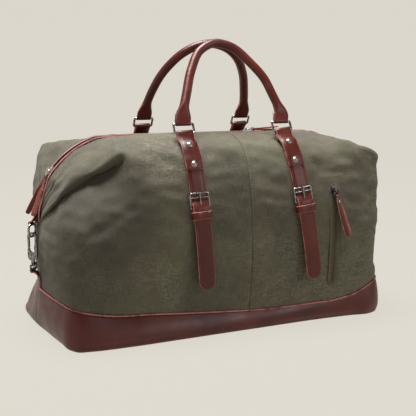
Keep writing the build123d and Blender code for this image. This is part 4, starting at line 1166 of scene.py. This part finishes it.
def paint(node, material):
    """Gives a CAD node its finish."""
    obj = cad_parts[node]
    if not obj.material_slots:
        obj.data.materials.append(material)
    for place in obj.material_slots:
        place.material = material


lining()
seam_stitches()
base()
for strap_name in FRONT_STRAPS:
    strap(strap_name)
chapes()
keepers()
for tab_name in STRAPS:
    tab(tab_name)
handle("front", FRONT_ARCH)
handle("back", BACK_ARCH)
main_zipper()
pocket()
pulls()
ends()
for finish, nodes in FINISHES:
    for node in nodes:
        paint(node, finish)


# ------------ floor, light and camera, in metres
BACKDROP = srgb(221, 217, 206)
BOWL_R = 3.4             # the paper floor curves up into a round wall
BOWL_CURVE = 0.9
BOWL_TOP = 3.0
BOWL_SIDES = 64
DARK_ABOVE = (1.2, 2.0)  # the wall fades to grey between these heights, above every view's frame
PAPER_GLOW = 0.945       # share of the paper's brightness that is its own light, and the share it reflects
PAPER_SHADE = 0.03


def backdrop():
    """Pale floor that curves up into a wall all round, self-lit so that it stays even."""
    s = Shader("studio_paper", tuple(PAPER_SHADE * c for c in BACKDROP), 0.95, Specular_IOR_Level=0.0)
    height = s.node("ShaderNodeSeparateXYZ", Vector=s.coords.outputs["Object"]).outputs["Z"]
    s.put(s.bsdf.inputs["Emission Color"], s.mix(s.ramp(height, *DARK_ABOVE), BACKDROP, (0.1, 0.1, 0.1)))
    s.bsdf.inputs["Emission Strength"].default_value = PAPER_GLOW
    profile = [(0.4, 0.0), (1.0, 0.0), (BOWL_R - BOWL_CURVE, 0.0)]
    profile += [(BOWL_R - BOWL_CURVE * (1 - u), BOWL_CURVE * (1 - v)) for v, u in circle(9, 0, 90)[1:]]
    profile.append((BOWL_R, BOWL_TOP))
    verts = [(r * c, r * d, z - 0.0002) for r, z in profile for c, d in circle(BOWL_SIDES)]
    faces = []
    for ring in range(0, BOWL_SIDES * (len(profile) - 1), BOWL_SIDES):
        for k in range(BOWL_SIDES):
            a, b = ring + k, ring + (k + 1) % BOWL_SIDES
            faces.append((a, b, b + BOWL_SIDES, a + BOWL_SIDES))
    faces.append(tuple(range(BOWL_SIDES)))
    mesh = bpy.data.meshes.new("studio_floor")
    mesh.from_pydata(verts, [], faces)
    mesh.polygons.foreach_set("use_smooth", [True] * (len(faces) - 1) + [False])
    mesh.materials.append(s.material)
    floor = bpy.data.objects.new("studio_floor", mesh)
    bpy.context.scene.collection.objects.link(floor)


def area_light(name, place, target, size, power, color=(1, 1, 1)):
    light = bpy.data.lights.new(name, "AREA")
    light.shape = "RECTANGLE"
    light.size, light.size_y = size
    light.energy = power
    light.color = color
    obj = bpy.data.objects.new(name, light)
    obj.location = place
    obj.rotation_euler = (Vector(target) - Vector(place)).to_track_quat("-Z", "Y").to_euler()
    bpy.context.scene.collection.objects.link(obj)


def studio():
    world = bpy.data.worlds.new("studio_world")
    world.use_nodes = True
    bg = world.node_tree.nodes["Background"]
    bg.inputs["Color"].default_value = (1.0, 0.985, 0.96, 1)
    bg.inputs["Strength"].default_value = 0.2
    bpy.context.scene.world = world
    area_light("key", (-0.2, 0.2, 2.4), (0, 0, 0.15), (1.3, 1.0), 150)
    area_light("left", (-1.9, 0.5, 1.1), (-0.1, 0, 0.14), (0.7, 1.3), 5, (0.93, 0.94, 1.0))
    area_light("right", (1.3, -1.9, 1.2), (0.1, 0, 0.14), (0.9, 1.0), 15)


def camera():
    data = bpy.data.cameras.new("camera")
    data.lens = 69.23
    data.sensor_width = 36.0
    data.clip_end = 200
    obj = bpy.data.objects.new("camera", data)
    obj.location = (-0.4666, -1.2023, 0.3891)
    yaw, pitch = math.radians(21.3), math.radians(9.7)
    forward = Vector((math.sin(yaw) * math.cos(pitch), math.cos(yaw) * math.cos(pitch), -math.sin(pitch)))
    obj.rotation_euler = forward.to_track_quat("-Z", "Y").to_euler()
    bpy.context.scene.collection.objects.link(obj)
    bpy.context.scene.camera = obj


backdrop()
studio()
camera()
bpy.context.scene.view_settings.view_transform = "Standard"
